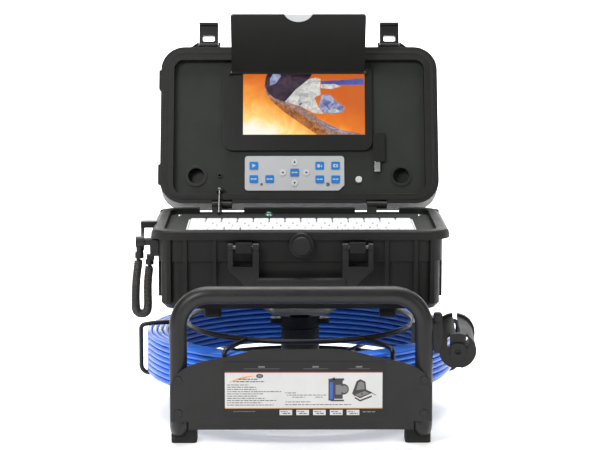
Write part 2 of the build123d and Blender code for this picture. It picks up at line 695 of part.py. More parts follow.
with BuildPart() as battery_pack:
    with BuildSketch(Plane(origin=(BATTERY_X, BATTERY_Y, CASE_FLOOR))):
        with GridLocations(0, 37, 1, 2):
            RectangleRounded(110, 36, 6)
    extrude(amount=BATTERY_H)
    with BuildSketch(Plane(origin=(BATTERY_X, BATTERY_Y, CASE_FLOOR + BATTERY_H))):
        RectangleRounded(112, 76, 6)
    extrude(amount=4)
save(battery_pack, "battery_pack")

BOARD_X, BOARD_Z, BOARD_THICK = 65.0, 155.0, 1.6
BOARD_W, BOARD_D, BOARD_INSET = 140.0, 110.0, 12.0

with BuildPart() as main_board:
    with BuildSketch(Plane(origin=(BOARD_X, 0, BOARD_Z))):
        Rectangle(BOARD_W, BOARD_D)
        with GridLocations(BOARD_W - BOARD_INSET, BOARD_D - BOARD_INSET, 2, 2):
            Circle(1.6, mode=Mode.SUBTRACT)
    extrude(amount=BOARD_THICK)
    # standoffs
    with BuildSketch(Plane(origin=(BOARD_X, 0, CASE_FLOOR))):
        with GridLocations(BOARD_W - BOARD_INSET, BOARD_D - BOARD_INSET, 2, 2):
            Circle(3.5)
    extrude(amount=BOARD_Z - CASE_FLOOR)
    for chip_x, chip_y, chip_w, chip_d, chip_h in (
        (40, 10, 24, 24, 3), (78, 14, 16, 16, 2), (104, -20, 18, 30, 9), (50, -30, 30, 12, 5),
    ):
        with BuildSketch(Plane(origin=(chip_x, chip_y, BOARD_Z + BOARD_THICK))):
            Rectangle(chip_w, chip_d)
        extrude(amount=chip_h)
save(main_board, "main_board")

with BuildPart() as power_bezel:
    with BuildSketch(level(DECK_TOP)):
        with Locations((POWER_X, POWER_Y)):
            Circle(5.8)
            Circle(3.9, mode=Mode.SUBTRACT)
    extrude(amount=1.8, taper=12)
save(power_bezel, "power_bezel")

with BuildPart() as power_button:
    with BuildSketch(level(DECK_TOP - 6)):
        with Locations((POWER_X, POWER_Y)):
            Circle(3.6)
    extrude(amount=10.5)
    fillet(power_button.edges().group_by(Axis.Z)[-1], radius=2.2)
save(power_button, "power_button")

VALVE_FACE = CENTRE_Y - RIM_Y - 4.0

with BuildPart() as valve_body:
    with BuildSketch(facing_front(CENTRE_Y - CASE_Y + CASE_WALL)):
        with Locations((VALVE_X, VALVE_Z)):
            Circle(VALVE_HOLE_R - 0.05)
    extrude(amount=RIM_Y - CASE_Y + CASE_WALL)
    with BuildSketch(facing_front(CENTRE_Y - RIM_Y)):
        with Locations((VALVE_X, VALVE_Z)):
            Circle(VALVE_R)
    extrude(amount=4, taper=10)
    with BuildSketch(facing_front(VALVE_FACE + 14)):
        with Locations((VALVE_X, VALVE_Z)):
            Circle(4.0)
    extrude(amount=14, mode=Mode.SUBTRACT)
save(valve_body, "valve_body")

with BuildPart() as valve_knob:
    with BuildSketch(facing_front(VALVE_FACE + 12)):
        with Locations((VALVE_X, VALVE_Z)):
            Circle(3.95)
    extrude(amount=12.4)
    with BuildSketch(facing_front(VALVE_FACE - 0.4)):
        with Locations((VALVE_X, VALVE_Z)):
            Circle(11.0)
    extrude(amount=6.5)
    chamfer(valve_knob.edges().group_by(Axis.Y)[0], length=1.2)
save(valve_knob, "valve_knob")

HANDLE_PIN_LENGTH = 33.5

with BuildPart() as case_pins:
    for side in (-1, 1):
        with BuildSketch(facing_side(side * HANDLE_LUG_X - HANDLE_PIN_LENGTH / 2)):
            with Locations((HANDLE_Y, HANDLE_Z)):
                Circle(HANDLE_PIN_R)
        extrude(amount=HANDLE_PIN_LENGTH)
        with BuildSketch(facing_side(side * HINGE_X - KNUCKLE_W)):
            with Locations((HINGE_Y, HINGE_Z)):
                Circle(HINGE_PIN_R)
        extrude(amount=2 * KNUCKLE_W)
save(case_pins, "case_pins")

HANDLE_BACK = HANDLE_Y + HANDLE_THICK / 2

with BuildPart() as carry_handle:
    with BuildSketch(facing_front(HANDLE_BACK)):
        Polygon(
            *mirrored([(84, HANDLE_Z + 4), (84, 186), (60, 162), (52, 160)]),
            align=None,
        )
        Polygon(
            *mirrored([(48.4, HANDLE_Z + 5), (48.4, 176)]),
            align=None,
            mode=Mode.SUBTRACT,
        )
        with Locations((-66.9, HANDLE_Z), (66.9, HANDLE_Z)):
            Rectangle(23, 44, mode=Mode.SUBTRACT)
    extrude(amount=HANDLE_THICK)
    # round barrels on the pin
    for inner, outer in ((48.4, 55.4), (78.4, 84.0)):
        for start in (inner, -outer):
            with BuildSketch(facing_side(start)):
                with Locations((HANDLE_Y, HANDLE_Z)):
                    Circle(5.0)
            extrude(amount=outer - inner)
    # rounded grip across the bottom
    with BuildSketch(facing_side(-52)):
        with Locations((HANDLE_Y, 168)):
            RectangleRounded(14, 16, 5)
    extrude(amount=104)
    with BuildSketch(facing_side(-90)):
        with Locations((HANDLE_Y, HANDLE_Z)):
            Circle(HANDLE_PIN_R + 0.05)
    extrude(amount=180, mode=Mode.SUBTRACT)
save(carry_handle, "carry_handle")

# ---------------------------------------------------------------- connectors on the left side
SOCKET_X0, SOCKET_X1 = -176.0, -(CASE_X + BAND_PROUD)
SOCKET_Z0, SOCKET_Z1 = 196.0, 217.0
PLUG_Z = 211.0

with BuildPart() as side_socket:
    with BuildSketch(facing_side(SOCKET_X0)):
        with Locations((LEAD_Y - 3, (SOCKET_Z0 + SOCKET_Z1) / 2)):
            RectangleRounded(30, SOCKET_Z1 - SOCKET_Z0, 3)
    extrude(amount=SOCKET_X1 - SOCKET_X0)
save(side_socket, "side_socket")

HANGER_Y, HANGER_W = -15.0, 14.0
HANGER_Z0, HANGER_Z1 = 221.0, 228.5

with BuildPart() as lead_hanger:
    # arm with its end fitted to the rim's sloped strip
    with BuildSketch(facing_front(HANGER_Y + HANGER_W / 2)):
        Polygon(
            (-190.5, HANGER_Z0),
            (-RIM_X, HANGER_Z0),
            (-RIM_X, CASE_TOP - RIM_CHAMFER),
            (-RIM_X + HANGER_Z1 - CASE_TOP + RIM_CHAMFER, HANGER_Z1),
            (-190.5, HANGER_Z1),
            align=None,
        )
    extrude(amount=HANGER_W)
    with BuildLine() as strap_path:
        FilletPolyline((-188.3, HANGER_Y, 226), (-188.3, HANGER_Y - 5, 214), (-186.5, -56, 202.5), radius=6)
    with BuildSketch(Plane(origin=strap_path.line @ 0, x_dir=(1, 0, 0), z_dir=strap_path.line % 0)):
        Rectangle(4, 8)
    sweep(path=strap_path.wire())
save(lead_hanger, "lead_hanger")

PLUG_A_X = -189.0
LEAD_ROUTE = [
    (-190.0, LEAD_Y, 191.5),
    (-192.4, LEAD_Y - 0.6, 176.0),
    (-194.2, LEAD_Y - 1.0, 157.0),
    (-194.6, LEAD_Y - 0.8, 138.5),
    (-193.6, LEAD_Y, 125.0),
    (-181.0, LEAD_Y + 0.6, 125.0),
    (-179.8, LEAD_Y + 0.8, 138.5),
    (-180.4, LEAD_Y + 0.6, 157.0),
    (-179.2, LEAD_Y + 0.2, 172.0),
    (-177.5, LEAD_Y, 184.0),
]

with BuildPart() as lead_plugs:
    # round plug in the socket, with an elbow down to the lead
    with BuildSketch(facing_side(-193.5)):
        with Locations((LEAD_Y, PLUG_Z)):
            Circle(6.5)
    extrude(amount=10)
    with BuildSketch(facing_side(-183.5)):
        with Locations((LEAD_Y, PLUG_Z)):
            Circle(4.6)
    extrude(amount=SOCKET_X0 + 183.5)
    with BuildSketch(Plane(origin=(PLUG_A_X, LEAD_Y, 198))):
        Circle(4.2)
    extrude(amount=PLUG_Z - 198)
    with BuildSketch(Plane(origin=(PLUG_A_X - 0.5, LEAD_Y, 191.5))):
        Circle(5.2)
    extrude(amount=7)
    # straight plug up into the underside of the socket
    with BuildSketch(Plane(origin=(-177.5, LEAD_Y, 184))):
        Circle(5.0)
    extrude(amount=6)
    with BuildSketch(Plane(origin=(-176.5, LEAD_Y, 190))):
        RectangleRounded(9, 9, 2)
    extrude(amount=SOCKET_Z0 - 190)
save(lead_plugs, "lead_plugs")

with BuildPart() as curly_lead:
    lead_radii = route_radii(LEAD_ROUTE)
    print("curly_lead radii", [round(radius, 1) for radius in lead_radii])
    with BuildLine() as lead_path:
        FilletPolyline(*LEAD_ROUTE, radius=lead_radii)
    with BuildSketch(Plane(origin=lead_path.line @ 0, z_dir=lead_path.line % 0)):
        Circle(LEAD_R)
    sweep(path=lead_path.wire())
report_tube("curly_lead", curly_lead, lead_path, LEAD_R)
save(curly_lead, "curly_lead")

# ---------------------------------------------------------------- lid
LID_MID = (LID_START + LID_END) / 2
LID_LENGTH = LID_END - LID_START
PANEL_MID = (PANEL_START + PANEL_END) / 2
PANEL_LENGTH = PANEL_END - PANEL_START
STAY_X, STAY_S, STAY_W = -100.0, 20.0, 1.0
LATCH_LUG = 2.3

with BuildPart() as lid_shell:
    with BuildSketch(LID.offset(LID_BACK)):
        with Locations((0, LID_MID)):
            RectangleRounded(2 * RIM_X, LID_LENGTH, RIM_CORNER_R)
    extrude(amount=LID_FRONT - LID_BACK)
    chamfer(lid_shell.faces().sort_by(Axis(LID.origin, LID.z_dir))[0].edges(), length=5)
    # hollow, with a broad rim round the panel
    with BuildSketch(LID.offset(LID_BACK + LID_WALL)):
        with Locations((0, LID_MID)):
            RectangleRounded(2 * (RIM_X - LID_WALL), LID_LENGTH - 2 * LID_WALL, RIM_CORNER_R - LID_WALL)
    extrude(amount=PANEL_BACK - LID_BACK - LID_WALL, mode=Mode.SUBTRACT)
    with BuildSketch(LID.offset(PANEL_BACK)):
        with Locations((0, PANEL_MID)):
            RectangleRounded(2 * PANEL_X, PANEL_LENGTH, 12)
    extrude(amount=LID_FRONT - PANEL_BACK, mode=Mode.SUBTRACT)
    # groove for the gasket
    with BuildSketch(LID.offset(LID_FRONT - 3)):
        with Locations((0, LID_MID)):
            RectangleRounded(2 * (RIM_X - 5), LID_LENGTH - 10, RIM_CORNER_R - 5)
            RectangleRounded(2 * (RIM_X - 9), LID_LENGTH - 18, RIM_CORNER_R - 9, mode=Mode.SUBTRACT)
    extrude(amount=3, mode=Mode.SUBTRACT)
    # gap for the case's hinge knuckles, and the lid's own knuckles
    for side in (-1, 1):
        with BuildSketch(facing_side(side * HINGE_X - 12.8)):
            with Locations((HINGE_Y, HINGE_Z)):
                Circle(6.5)
        extrude(amount=25.6, mode=Mode.SUBTRACT)
        with BuildSketch(facing_side(side * HINGE_X)):
            Polygon(
                (HINGE_Y + 1, HINGE_Z + 2),
                (HINGE_Y + 12, HINGE_Z + 4),
                (HINGE_Y + 12, HINGE_Z - 3.5),
                (HINGE_Y + 3, HINGE_Z - 3.5),
                align=None,
            )
            with Locations((HINGE_Y, HINGE_Z)):
                Circle(KNUCKLE_R)
                Circle(HINGE_PIN_R + 0.06, mode=Mode.SUBTRACT)
        extrude(amount=KNUCKLE_W)
    # ears for the latches on the free edge, and a web beside each pair
    for x in (-LATCH_X, LATCH_X):
        for start in (x - LATCH_W / 2 - 0.4 - LATCH_LUG, x + LATCH_W / 2 + 0.4):
            with BuildSketch(facing_side(start)):
                Polygon(
                    across_lid(LID_END - 4, -1),
                    across_lid(LATCH_PIVOT_S + 3.5, -2.5),
                    across_lid(LATCH_PIVOT_S + 3.5, -9.5),
                    across_lid(LID_END - 4, -22),
                    align=None,
                )
            extrude(amount=LATCH_LUG)
    with BuildSketch(LID.offset(-16)):
        for side in (-1, 1):
            Polygon(
                (side * 130, LID_END - 6),
                (side * 153, LID_END - 6),
                (side * 130, LATCH_PIVOT_S + 3.5),
                align=None,
            )
    extrude(amount=10)
    # two small side lugs on the left edge
    with BuildSketch(LID.offset(-14)):
        with Locations((-RIM_X, 166), (-RIM_X, 42)):
            RectangleRounded(6, 26, 2)
    extrude(amount=8)
    # holes for the latch pins
    with BuildSketch(facing_side(-160)):
        with Locations(across_lid(LATCH_PIVOT_S, LATCH_PIVOT_W)):
            Circle(LATCH_PIN_R)
    extrude(amount=320, mode=Mode.SUBTRACT)
save(lid_shell, "lid_shell")

with BuildPart() as lid_gasket:
    with BuildSketch(LID.offset(LID_FRONT - 3)):
        with Locations((0, LID_MID)):
            RectangleRounded(2 * (RIM_X - 5), LID_LENGTH - 10, RIM_CORNER_R - 5)
            RectangleRounded(2 * (RIM_X - 9), LID_LENGTH - 18, RIM_CORNER_R - 9, mode=Mode.SUBTRACT)
    extrude(amount=3.2)
save(lid_gasket, "lid_gasket")

LCD_CLEAR_X, LCD_CLEAR_S = 170.0, 100.0
CUP_CENTRES = ((-129.6, 40.0), (128.0, 40.0))
CUP_R = 11.5
JACK_CENTRE = (STAY_X, 40.4)
JACK_R = 3.0
MENU_CENTRE = (74.6, 35.0)
MENU_R = 4.25
STAY_PIN_R = 1.0
STAY_LUGS = (STAY_X - 3.2, STAY_X + 1.6)

with BuildPart() as lid_panel:
    with BuildSketch(LID.offset(PANEL_BACK)):
        with Locations((0, PANEL_MID)):
            RectangleRounded(2 * PANEL_X - 0.4, PANEL_LENGTH - 0.4, 11.8)
        with Locations((SCREEN_X, SCREEN_S)):
            Rectangle(LCD_CLEAR_X, LCD_CLEAR_S, mode=Mode.SUBTRACT)
        with Locations(*CUP_CENTRES):
            Circle(CUP_R + 0.1, mode=Mode.SUBTRACT)
        with Locations(JACK_CENTRE):
            Circle(JACK_R + 0.1, mode=Mode.SUBTRACT)
        with Locations(MENU_CENTRE):
            Circle(MENU_R + 0.2, mode=Mode.SUBTRACT)
    extrude(amount=PANEL_FACE - PANEL_BACK)
    # two lugs for the lid stay
    for start in STAY_LUGS:
        with BuildSketch(facing_side(start)):
            Polygon(
                across_lid(STAY_S - 4, PANEL_FACE - 0.5),
                across_lid(STAY_S + 4, PANEL_FACE - 0.5),
                across_lid(STAY_S + 3, STAY_W + 2.4),
                across_lid(STAY_S - 2.4, STAY_W + 2.4),
                align=None,
            )
            with Locations(across_lid(STAY_S, STAY_W)):
                Circle(STAY_PIN_R, mode=Mode.SUBTRACT)
        extrude(amount=1.6)
save(lid_panel, "lid_panel")

MONITOR_MID = ((MONITOR_X0 + MONITOR_X1) / 2, (MONITOR_S0 + MONITOR_S1) / 2)
GLASS_LIP = 4.0
VISOR_PIN_R = 1.2
VISOR_X0, VISOR_X1 = VISOR_X - VISOR_W / 2, VISOR_X + VISOR_W / 2
EAR = 2.5

with BuildPart() as monitor_housing:
    with BuildSketch(LID.offset(PANEL_FACE)):
        with Locations(MONITOR_MID):
            RectangleRounded(MONITOR_X1 - MONITOR_X0, MONITOR_S1 - MONITOR_S0, 12)
        with Locations((SCREEN_X, SCREEN_S)):
            Rectangle(SCREEN_W, SCREEN_H, mode=Mode.SUBTRACT)
    extrude(amount=MONITOR_FACE - PANEL_FACE)
    # seat for the glass, from behind
    with BuildSketch(LID.offset(PANEL_FACE)):
        with Locations((SCREEN_X, SCREEN_S)):
            Rectangle(SCREEN_W + 2 * GLASS_LIP, SCREEN_H + 2 * GLASS_LIP)
    extrude(amount=2, mode=Mode.SUBTRACT)
    # ears for the sun visor's pin
    for start in (VISOR_X0 - 0.5 - EAR, VISOR_X1 + 0.5):
        with BuildSketch(facing_side(start)):
            Polygon(
                across_lid(VISOR_S - 5, MONITOR_FACE - 0.5),
                across_lid(VISOR_S + 5, MONITOR_FACE - 0.5),
                across_lid(VISOR_S + 2.4, 1.8),
                across_lid(VISOR_S - 2.4, 1.8),
                align=None,
            )
            with Locations(across_lid(VISOR_S, 0)):
                Circle(VISOR_PIN_R, mode=Mode.SUBTRACT)
        extrude(amount=EAR)
save(monitor_housing, "monitor_housing")

with BuildPart() as lcd_panel:
    with BuildSketch(LID.offset(PANEL_FACE - 8)):
        with Locations((SCREEN_X, SCREEN_S)):
            Rectangle(LCD_CLEAR_X - 4, LCD_CLEAR_S - 4)
    extrude(amount=7.8)
save(lcd_panel, "lcd_panel")

with BuildPart() as screen_glass:
    with BuildSketch(LID.offset(PANEL_FACE + 0.1)):
        with Locations((SCREEN_X, SCREEN_S)):
            Rectangle(SCREEN_W + 2 * GLASS_LIP - 0.6, SCREEN_H + 2 * GLASS_LIP - 0.6)
    extrude(amount=1.8)
save(screen_glass, "screen_glass")

VISOR = Plane(
    origin=LID.from_local_coords(Vector(0, VISOR_S, 0)),
    x_dir=(1, 0, 0),
    z_dir=(0, -cos(radians(VISOR_LEAN)), -sin(radians(VISOR_LEAN))),
)
VISOR_THICK = 2.0
TAB_R, TAB_DROP = 19.4, 8.4

with BuildPart() as sun_visor:
    with BuildSketch(VISOR.offset(0.2)):
        with Locations((VISOR_X, VISOR_LENGTH / 2 + 0.5)):
            RectangleRounded(VISOR_W, VISOR_LENGTH - 1, 4)
        with Locations((VISOR_X, VISOR_LENGTH + TAB_DROP)):
            Circle(TAB_R, mode=Mode.SUBTRACT)
    extrude(amount=VISOR_THICK)
    with BuildSketch(Plane(origin=(VISOR_X0, VISOR.origin.Y, VISOR.origin.Z), x_dir=(0, 1, 0), z_dir=(1, 0, 0))):
        Circle(2.4)
    extrude(amount=VISOR_W)
    with BuildSketch(Plane(origin=(VISOR_X0, VISOR.origin.Y, VISOR.origin.Z), x_dir=(0, 1, 0), z_dir=(1, 0, 0))):
        Circle(VISOR_PIN_R + 0.06)
    extrude(amount=VISOR_W, mode=Mode.SUBTRACT)
save(sun_visor, "sun_visor")

with BuildPart() as visor_tab:
    with BuildSketch(VISOR.offset(0.2)):
        with Locations((VISOR_X, VISOR_LENGTH + TAB_DROP)):
            Circle(TAB_R)
        with Locations((VISOR_X, VISOR_LENGTH - 10)):
            Rectangle(60, 20, mode=Mode.INTERSECT)
    extrude(amount=VISOR_THICK)
save(visor_tab, "visor_tab")

with BuildPart() as lid_pins:
    for x in (-LATCH_X, LATCH_X):
        with BuildSketch(facing_side(x - LATCH_W / 2 - 0.4 - LATCH_LUG)):
            with Locations(across_lid(LATCH_PIVOT_S, LATCH_PIVOT_W)):
                Circle(LATCH_PIN_R)
        extrude(amount=LATCH_W + 0.8 + 2 * LATCH_LUG)
    with BuildSketch(facing_side(VISOR_X0 - 0.5 - EAR)):
        with Locations(across_lid(VISOR_S, 0)):
            Circle(VISOR_PIN_R)
    extrude(amount=VISOR_W + 1 + 2 * EAR)
    with BuildSketch(facing_side(STAY_LUGS[0])):
        with Locations(across_lid(STAY_S, STAY_W)):
            Circle(STAY_PIN_R)
    extrude(amount=STAY_LUGS[1] - STAY_LUGS[0] + 1.6)
save(lid_pins, "lid_pins")

LATCH_TIP_S = 240.0

for latch_x, latch_name in ((-LATCH_X, "latch_left"), (LATCH_X, "latch_right")):
    with BuildPart() as latch:
        with BuildSketch(facing_side(latch_x - LATCH_W / 2)):
            Polygon(
                across_lid(LATCH_PIVOT_S, LATCH_PIVOT_W + 3),
                across_lid(LATCH_TIP_S - 3, LATCH_PIVOT_W + 3),
                across_lid(LATCH_TIP_S - 3, LATCH_PIVOT_W + 8),
                across_lid(LATCH_TIP_S, LATCH_PIVOT_W + 8),
                across_lid(LATCH_TIP_S, LATCH_PIVOT_W - 2),
                across_lid(LATCH_TIP_S - 2, LATCH_PIVOT_W - 3),
                across_lid(LATCH_PIVOT_S, LATCH_PIVOT_W - 3),
                align=None,
            )
            with Locations(across_lid(LATCH_PIVOT_S, LATCH_PIVOT_W)):
                Circle(3.8)
                Circle(LATCH_PIN_R + 0.05, mode=Mode.SUBTRACT)
        extrude(amount=LATCH_W)
        # finger opening
        with BuildSketch(LID.offset(LATCH_PIVOT_W - 6)):
            with Locations((latch_x, LATCH_PIVOT_S + 9)):
                RectangleRounded(15, 8, 2)
        extrude(amount=12, mode=Mode.SUBTRACT)
    save(latch, latch_name)

# ---------------------------------------------------------------- controls on the lid panel
PAD_X0, PAD_X1, PAD_S0, PAD_S1 = -68.5, 56.4, 20.7, 65.6
PAD_THICK = 1.5
SQUARE_KEYS = (
    (-57.3, 52.8), (-57.3, 35.4), (-37.4, 35.4), (-6.0, 43.8),
    (25.5, 52.8), (45.5, 52.8), (25.5, 35.0), (45.5, 35.0),
)
ARROW_KEYS = ((-6.0, 57.2), (-20.8, 43.8), (8.8, 43.8), (-6.0, 30.4))
SQUARE_KEY_W, SQUARE_KEY_H, ARROW_KEY_R = 10.7, 10.0, 4.1
PAD_KEY_CLEAR, PAD_KEY_THICK = 0.5, 0.7

with BuildPart() as keypad_membrane:
    with BuildSketch(LID.offset(PANEL_FACE)):
        with Locations(((PAD_X0 + PAD_X1) / 2, (PAD_S0 + PAD_S1) / 2)):
            RectangleRounded(PAD_X1 - PAD_X0, PAD_S1 - PAD_S0, 4)
        Polygon(
            (PAD_X1 - 8, PAD_S0 - 1),
            (PAD_X1 + 1, PAD_S0 - 1),
            (PAD_X1 + 1, PAD_S0 + 8),
            align=None,
            mode=Mode.SUBTRACT,
        )
    extrude(amount=PAD_THICK)
save(keypad_membrane, "keypad_membrane")

with BuildPart() as square_keys:
    with BuildSketch(LID.offset(PANEL_FACE + PAD_THICK + PAD_KEY_CLEAR)):
        with Locations(*SQUARE_KEYS):
            RectangleRounded(SQUARE_KEY_W, SQUARE_KEY_H, 1.2)
    extrude(amount=PAD_KEY_THICK)
save(square_keys, "square_keys")

with BuildPart() as arrow_keys:
    with BuildSketch(LID.offset(PANEL_FACE + PAD_THICK + PAD_KEY_CLEAR)):
        with Locations(*ARROW_KEYS):
            Circle(ARROW_KEY_R)
    extrude(amount=PAD_KEY_THICK)
save(arrow_keys, "arrow_keys")

with BuildPart() as menu_button:
    with BuildSketch(LID.offset(PANEL_BACK - 3)):
        with Locations(MENU_CENTRE):
            Circle(MENU_R)
    extrude(amount=PANEL_FACE - PANEL_BACK + 5.5)
    chamfer(menu_button.faces().sort_by(Axis(LID.origin, LID.z_dir))[-1].edges(), length=0.6)
save(menu_button, "menu_button")

USB_X0, USB_X1, USB_S0, USB_S1 = 93.2, 107.5, 57.0, 95.6
USB_FACE = -2.3
STICK_X, STICK_W = 98.0, 7.0
STICK_S0, STICK_S1 = 44.6, 72.0
STICK_BACK, STICK_FRONT = -7.1, -3.5

with BuildPart() as usb_socket:
    with BuildSketch(LID.offset(PANEL_FACE)):
        with Locations(((USB_X0 + USB_X1) / 2, (USB_S0 + USB_S1) / 2)):
            RectangleRounded(USB_X1 - USB_X0, USB_S1 - USB_S0, 2)
    extrude(amount=USB_FACE - PANEL_FACE)
    with BuildSketch(LID.offset(STICK_BACK - 0.3)):
        with Locations((STICK_X, (USB_S0 + STICK_S1) / 2)):
            Rectangle(STICK_W + 0.6, STICK_S1 - USB_S0 + 6)
    extrude(amount=STICK_FRONT - STICK_BACK + 0.6, mode=Mode.SUBTRACT)
save(usb_socket, "usb_socket")

with BuildPart() as usb_stick:
    with BuildSketch(LID.offset(STICK_BACK)):
        with Locations((STICK_X, (STICK_S0 + STICK_S1) / 2)):
            Rectangle(STICK_W, STICK_S1 - STICK_S0)
    extrude(amount=STICK_FRONT - STICK_BACK)
save(usb_stick, "usb_stick")

with BuildPart() as panel_ports:
    for centre in CUP_CENTRES:
        with BuildSketch(LID.offset(PANEL_FACE - 14)):
            with Locations(centre):
                Circle(CUP_R)
        extrude(amount=14)
        with BuildSketch(LID.offset(PANEL_FACE)):
            with Locations(centre):
                Circle(CUP_R + 2)
        extrude(amount=1.2)
        with BuildSketch(LID.offset(PANEL_FACE - 12.5)):
            with Locations(centre):
                Circle(CUP_R - 1.3)
        extrude(amount=20, mode=Mode.SUBTRACT)
    with BuildSketch(LID.offset(PANEL_BACK - 2)):
        with Locations(JACK_CENTRE):
            Circle(JACK_R)
    extrude(amount=PANEL_FACE - PANEL_BACK + 4)
    with BuildSketch(LID.offset(PANEL_BACK)):
        with Locations(JACK_CENTRE):
            Circle(1.6)
    extrude(amount=10, mode=Mode.SUBTRACT)
save(panel_ports, "panel_ports")

STAY_FOOT = Vector(STAY_X, 72.0, 225.5)
STAY_PIVOT = LID.from_local_coords(Vector(STAY_X, STAY_S, STAY_W))
STAY_R = 1.25

with BuildPart() as lid_stay:
    with BuildSketch(facing_side(STAY_X - 1.4)):
        with Locations((STAY_PIVOT.Y, STAY_PIVOT.Z)):
            Circle(2.4)
    extrude(amount=2.8)
    with BuildSketch(Plane(origin=STAY_PIVOT, x_dir=(1, 0, 0), z_dir=STAY_FOOT - STAY_PIVOT)):
        Circle(STAY_R)
    extrude(amount=(STAY_FOOT - STAY_PIVOT).length)
    with BuildSketch(Plane(origin=STAY_FOOT, x_dir=(1, 0, 0), z_dir=STAY_PIVOT - STAY_FOOT)):
        Circle(2.0)
    extrude(amount=4)
    with BuildSketch(facing_side(STAY_X - 2)):
        with Locations((STAY_PIVOT.Y, STAY_PIVOT.Z)):
            Circle(STAY_PIN_R + 0.06)
    extrude(amount=4, mode=Mode.SUBTRACT)
save(lid_stay, "lid_stay")
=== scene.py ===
import json
import math
import random

import bmesh
import bpy
from mathutils import Matrix, Vector


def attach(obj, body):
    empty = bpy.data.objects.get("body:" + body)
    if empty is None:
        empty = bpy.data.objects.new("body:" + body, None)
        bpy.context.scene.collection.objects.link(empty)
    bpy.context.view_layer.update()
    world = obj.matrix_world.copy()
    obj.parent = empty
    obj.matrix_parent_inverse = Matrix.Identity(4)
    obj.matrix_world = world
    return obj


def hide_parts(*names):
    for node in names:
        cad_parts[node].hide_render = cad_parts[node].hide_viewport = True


# Looks of the pipe inspection camera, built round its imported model. Metres, +Z up, front towards -Y.

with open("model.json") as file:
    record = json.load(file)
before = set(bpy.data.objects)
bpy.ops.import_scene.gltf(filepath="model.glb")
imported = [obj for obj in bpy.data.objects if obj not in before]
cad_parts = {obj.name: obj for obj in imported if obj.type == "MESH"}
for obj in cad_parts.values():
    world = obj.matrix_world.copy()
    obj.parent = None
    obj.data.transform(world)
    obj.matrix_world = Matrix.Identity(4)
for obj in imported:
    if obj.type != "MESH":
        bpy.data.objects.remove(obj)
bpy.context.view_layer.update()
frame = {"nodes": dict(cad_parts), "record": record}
MM = 0.001
STAND = "stand_and_case"


def mm(x, y, z):
    """A point given in millimetres, in metres."""
    return Vector((x, y, z)) * MM


# the open lid's own axes: across, up along it from the hinge, and out of its inner side
LEAN = math.radians(22)
HINGE_Y, HINGE_Z = 98 * MM, 232 * MM
LID = Matrix((
    (1, 0, 0, 0),
    (0, math.sin(LEAN), -math.cos(LEAN), HINGE_Y),
    (0, math.cos(LEAN), math.sin(LEAN), HINGE_Z),
    (0, 0, 0, 1),
))
# places along the lid's axes, in millimetres
PANEL_FACE = -8.0
FILM_FACE = PANEL_FACE + 1.5
KEY_GAP, KEY_THICK = 0.5, 0.7
KEY_FACE = FILM_FACE + KEY_GAP + KEY_THICK
SCREEN_FACE = PANEL_FACE - 0.2
SCREEN_LEFT, SCREEN_WIDTH = -71, 154
SCREEN_BOTTOM, SCREEN_HEIGHT = 92.6, 86
# the front plate's label: across, up, and out towards the front
LABEL_Y = -212.8 * MM
LABEL = Matrix(((1, 0, 0, 0), (0, 0, -1, LABEL_Y), (0, 1, 0, 0), (0, 0, 0, 1)))

# ---------------------------------------------------------------- camera
TARGET = mm(0, -5, 221.9)
DISTANCE, TILT, LENS = 2.647, math.radians(8.2), 132.0
SIDESTEP = mm(-17, 0, 0)

camera_data = bpy.data.cameras.new("camera")
camera_data.lens = LENS
camera_data.sensor_width = 36
camera_data.clip_end = 30
camera = bpy.data.objects.new("camera", camera_data)
bpy.context.scene.collection.objects.link(camera)
bpy.context.scene.camera = camera
camera.location = TARGET + SIDESTEP + Vector((0, -math.cos(TILT), math.sin(TILT))) * DISTANCE
camera.rotation_euler = (TARGET - camera.location).to_track_quat("-Z", "Y").to_euler()


# ---------------------------------------------------------------- materials
# numbers of the sockets that a Mix node uses for colours
MIX_SHARE, MIX_FIRST, MIX_SECOND, MIX_RESULT = 0, 6, 7, 2
NOISE_LOW, NOISE_HIGH = 0.3, 0.7  # most of a noise lies between these


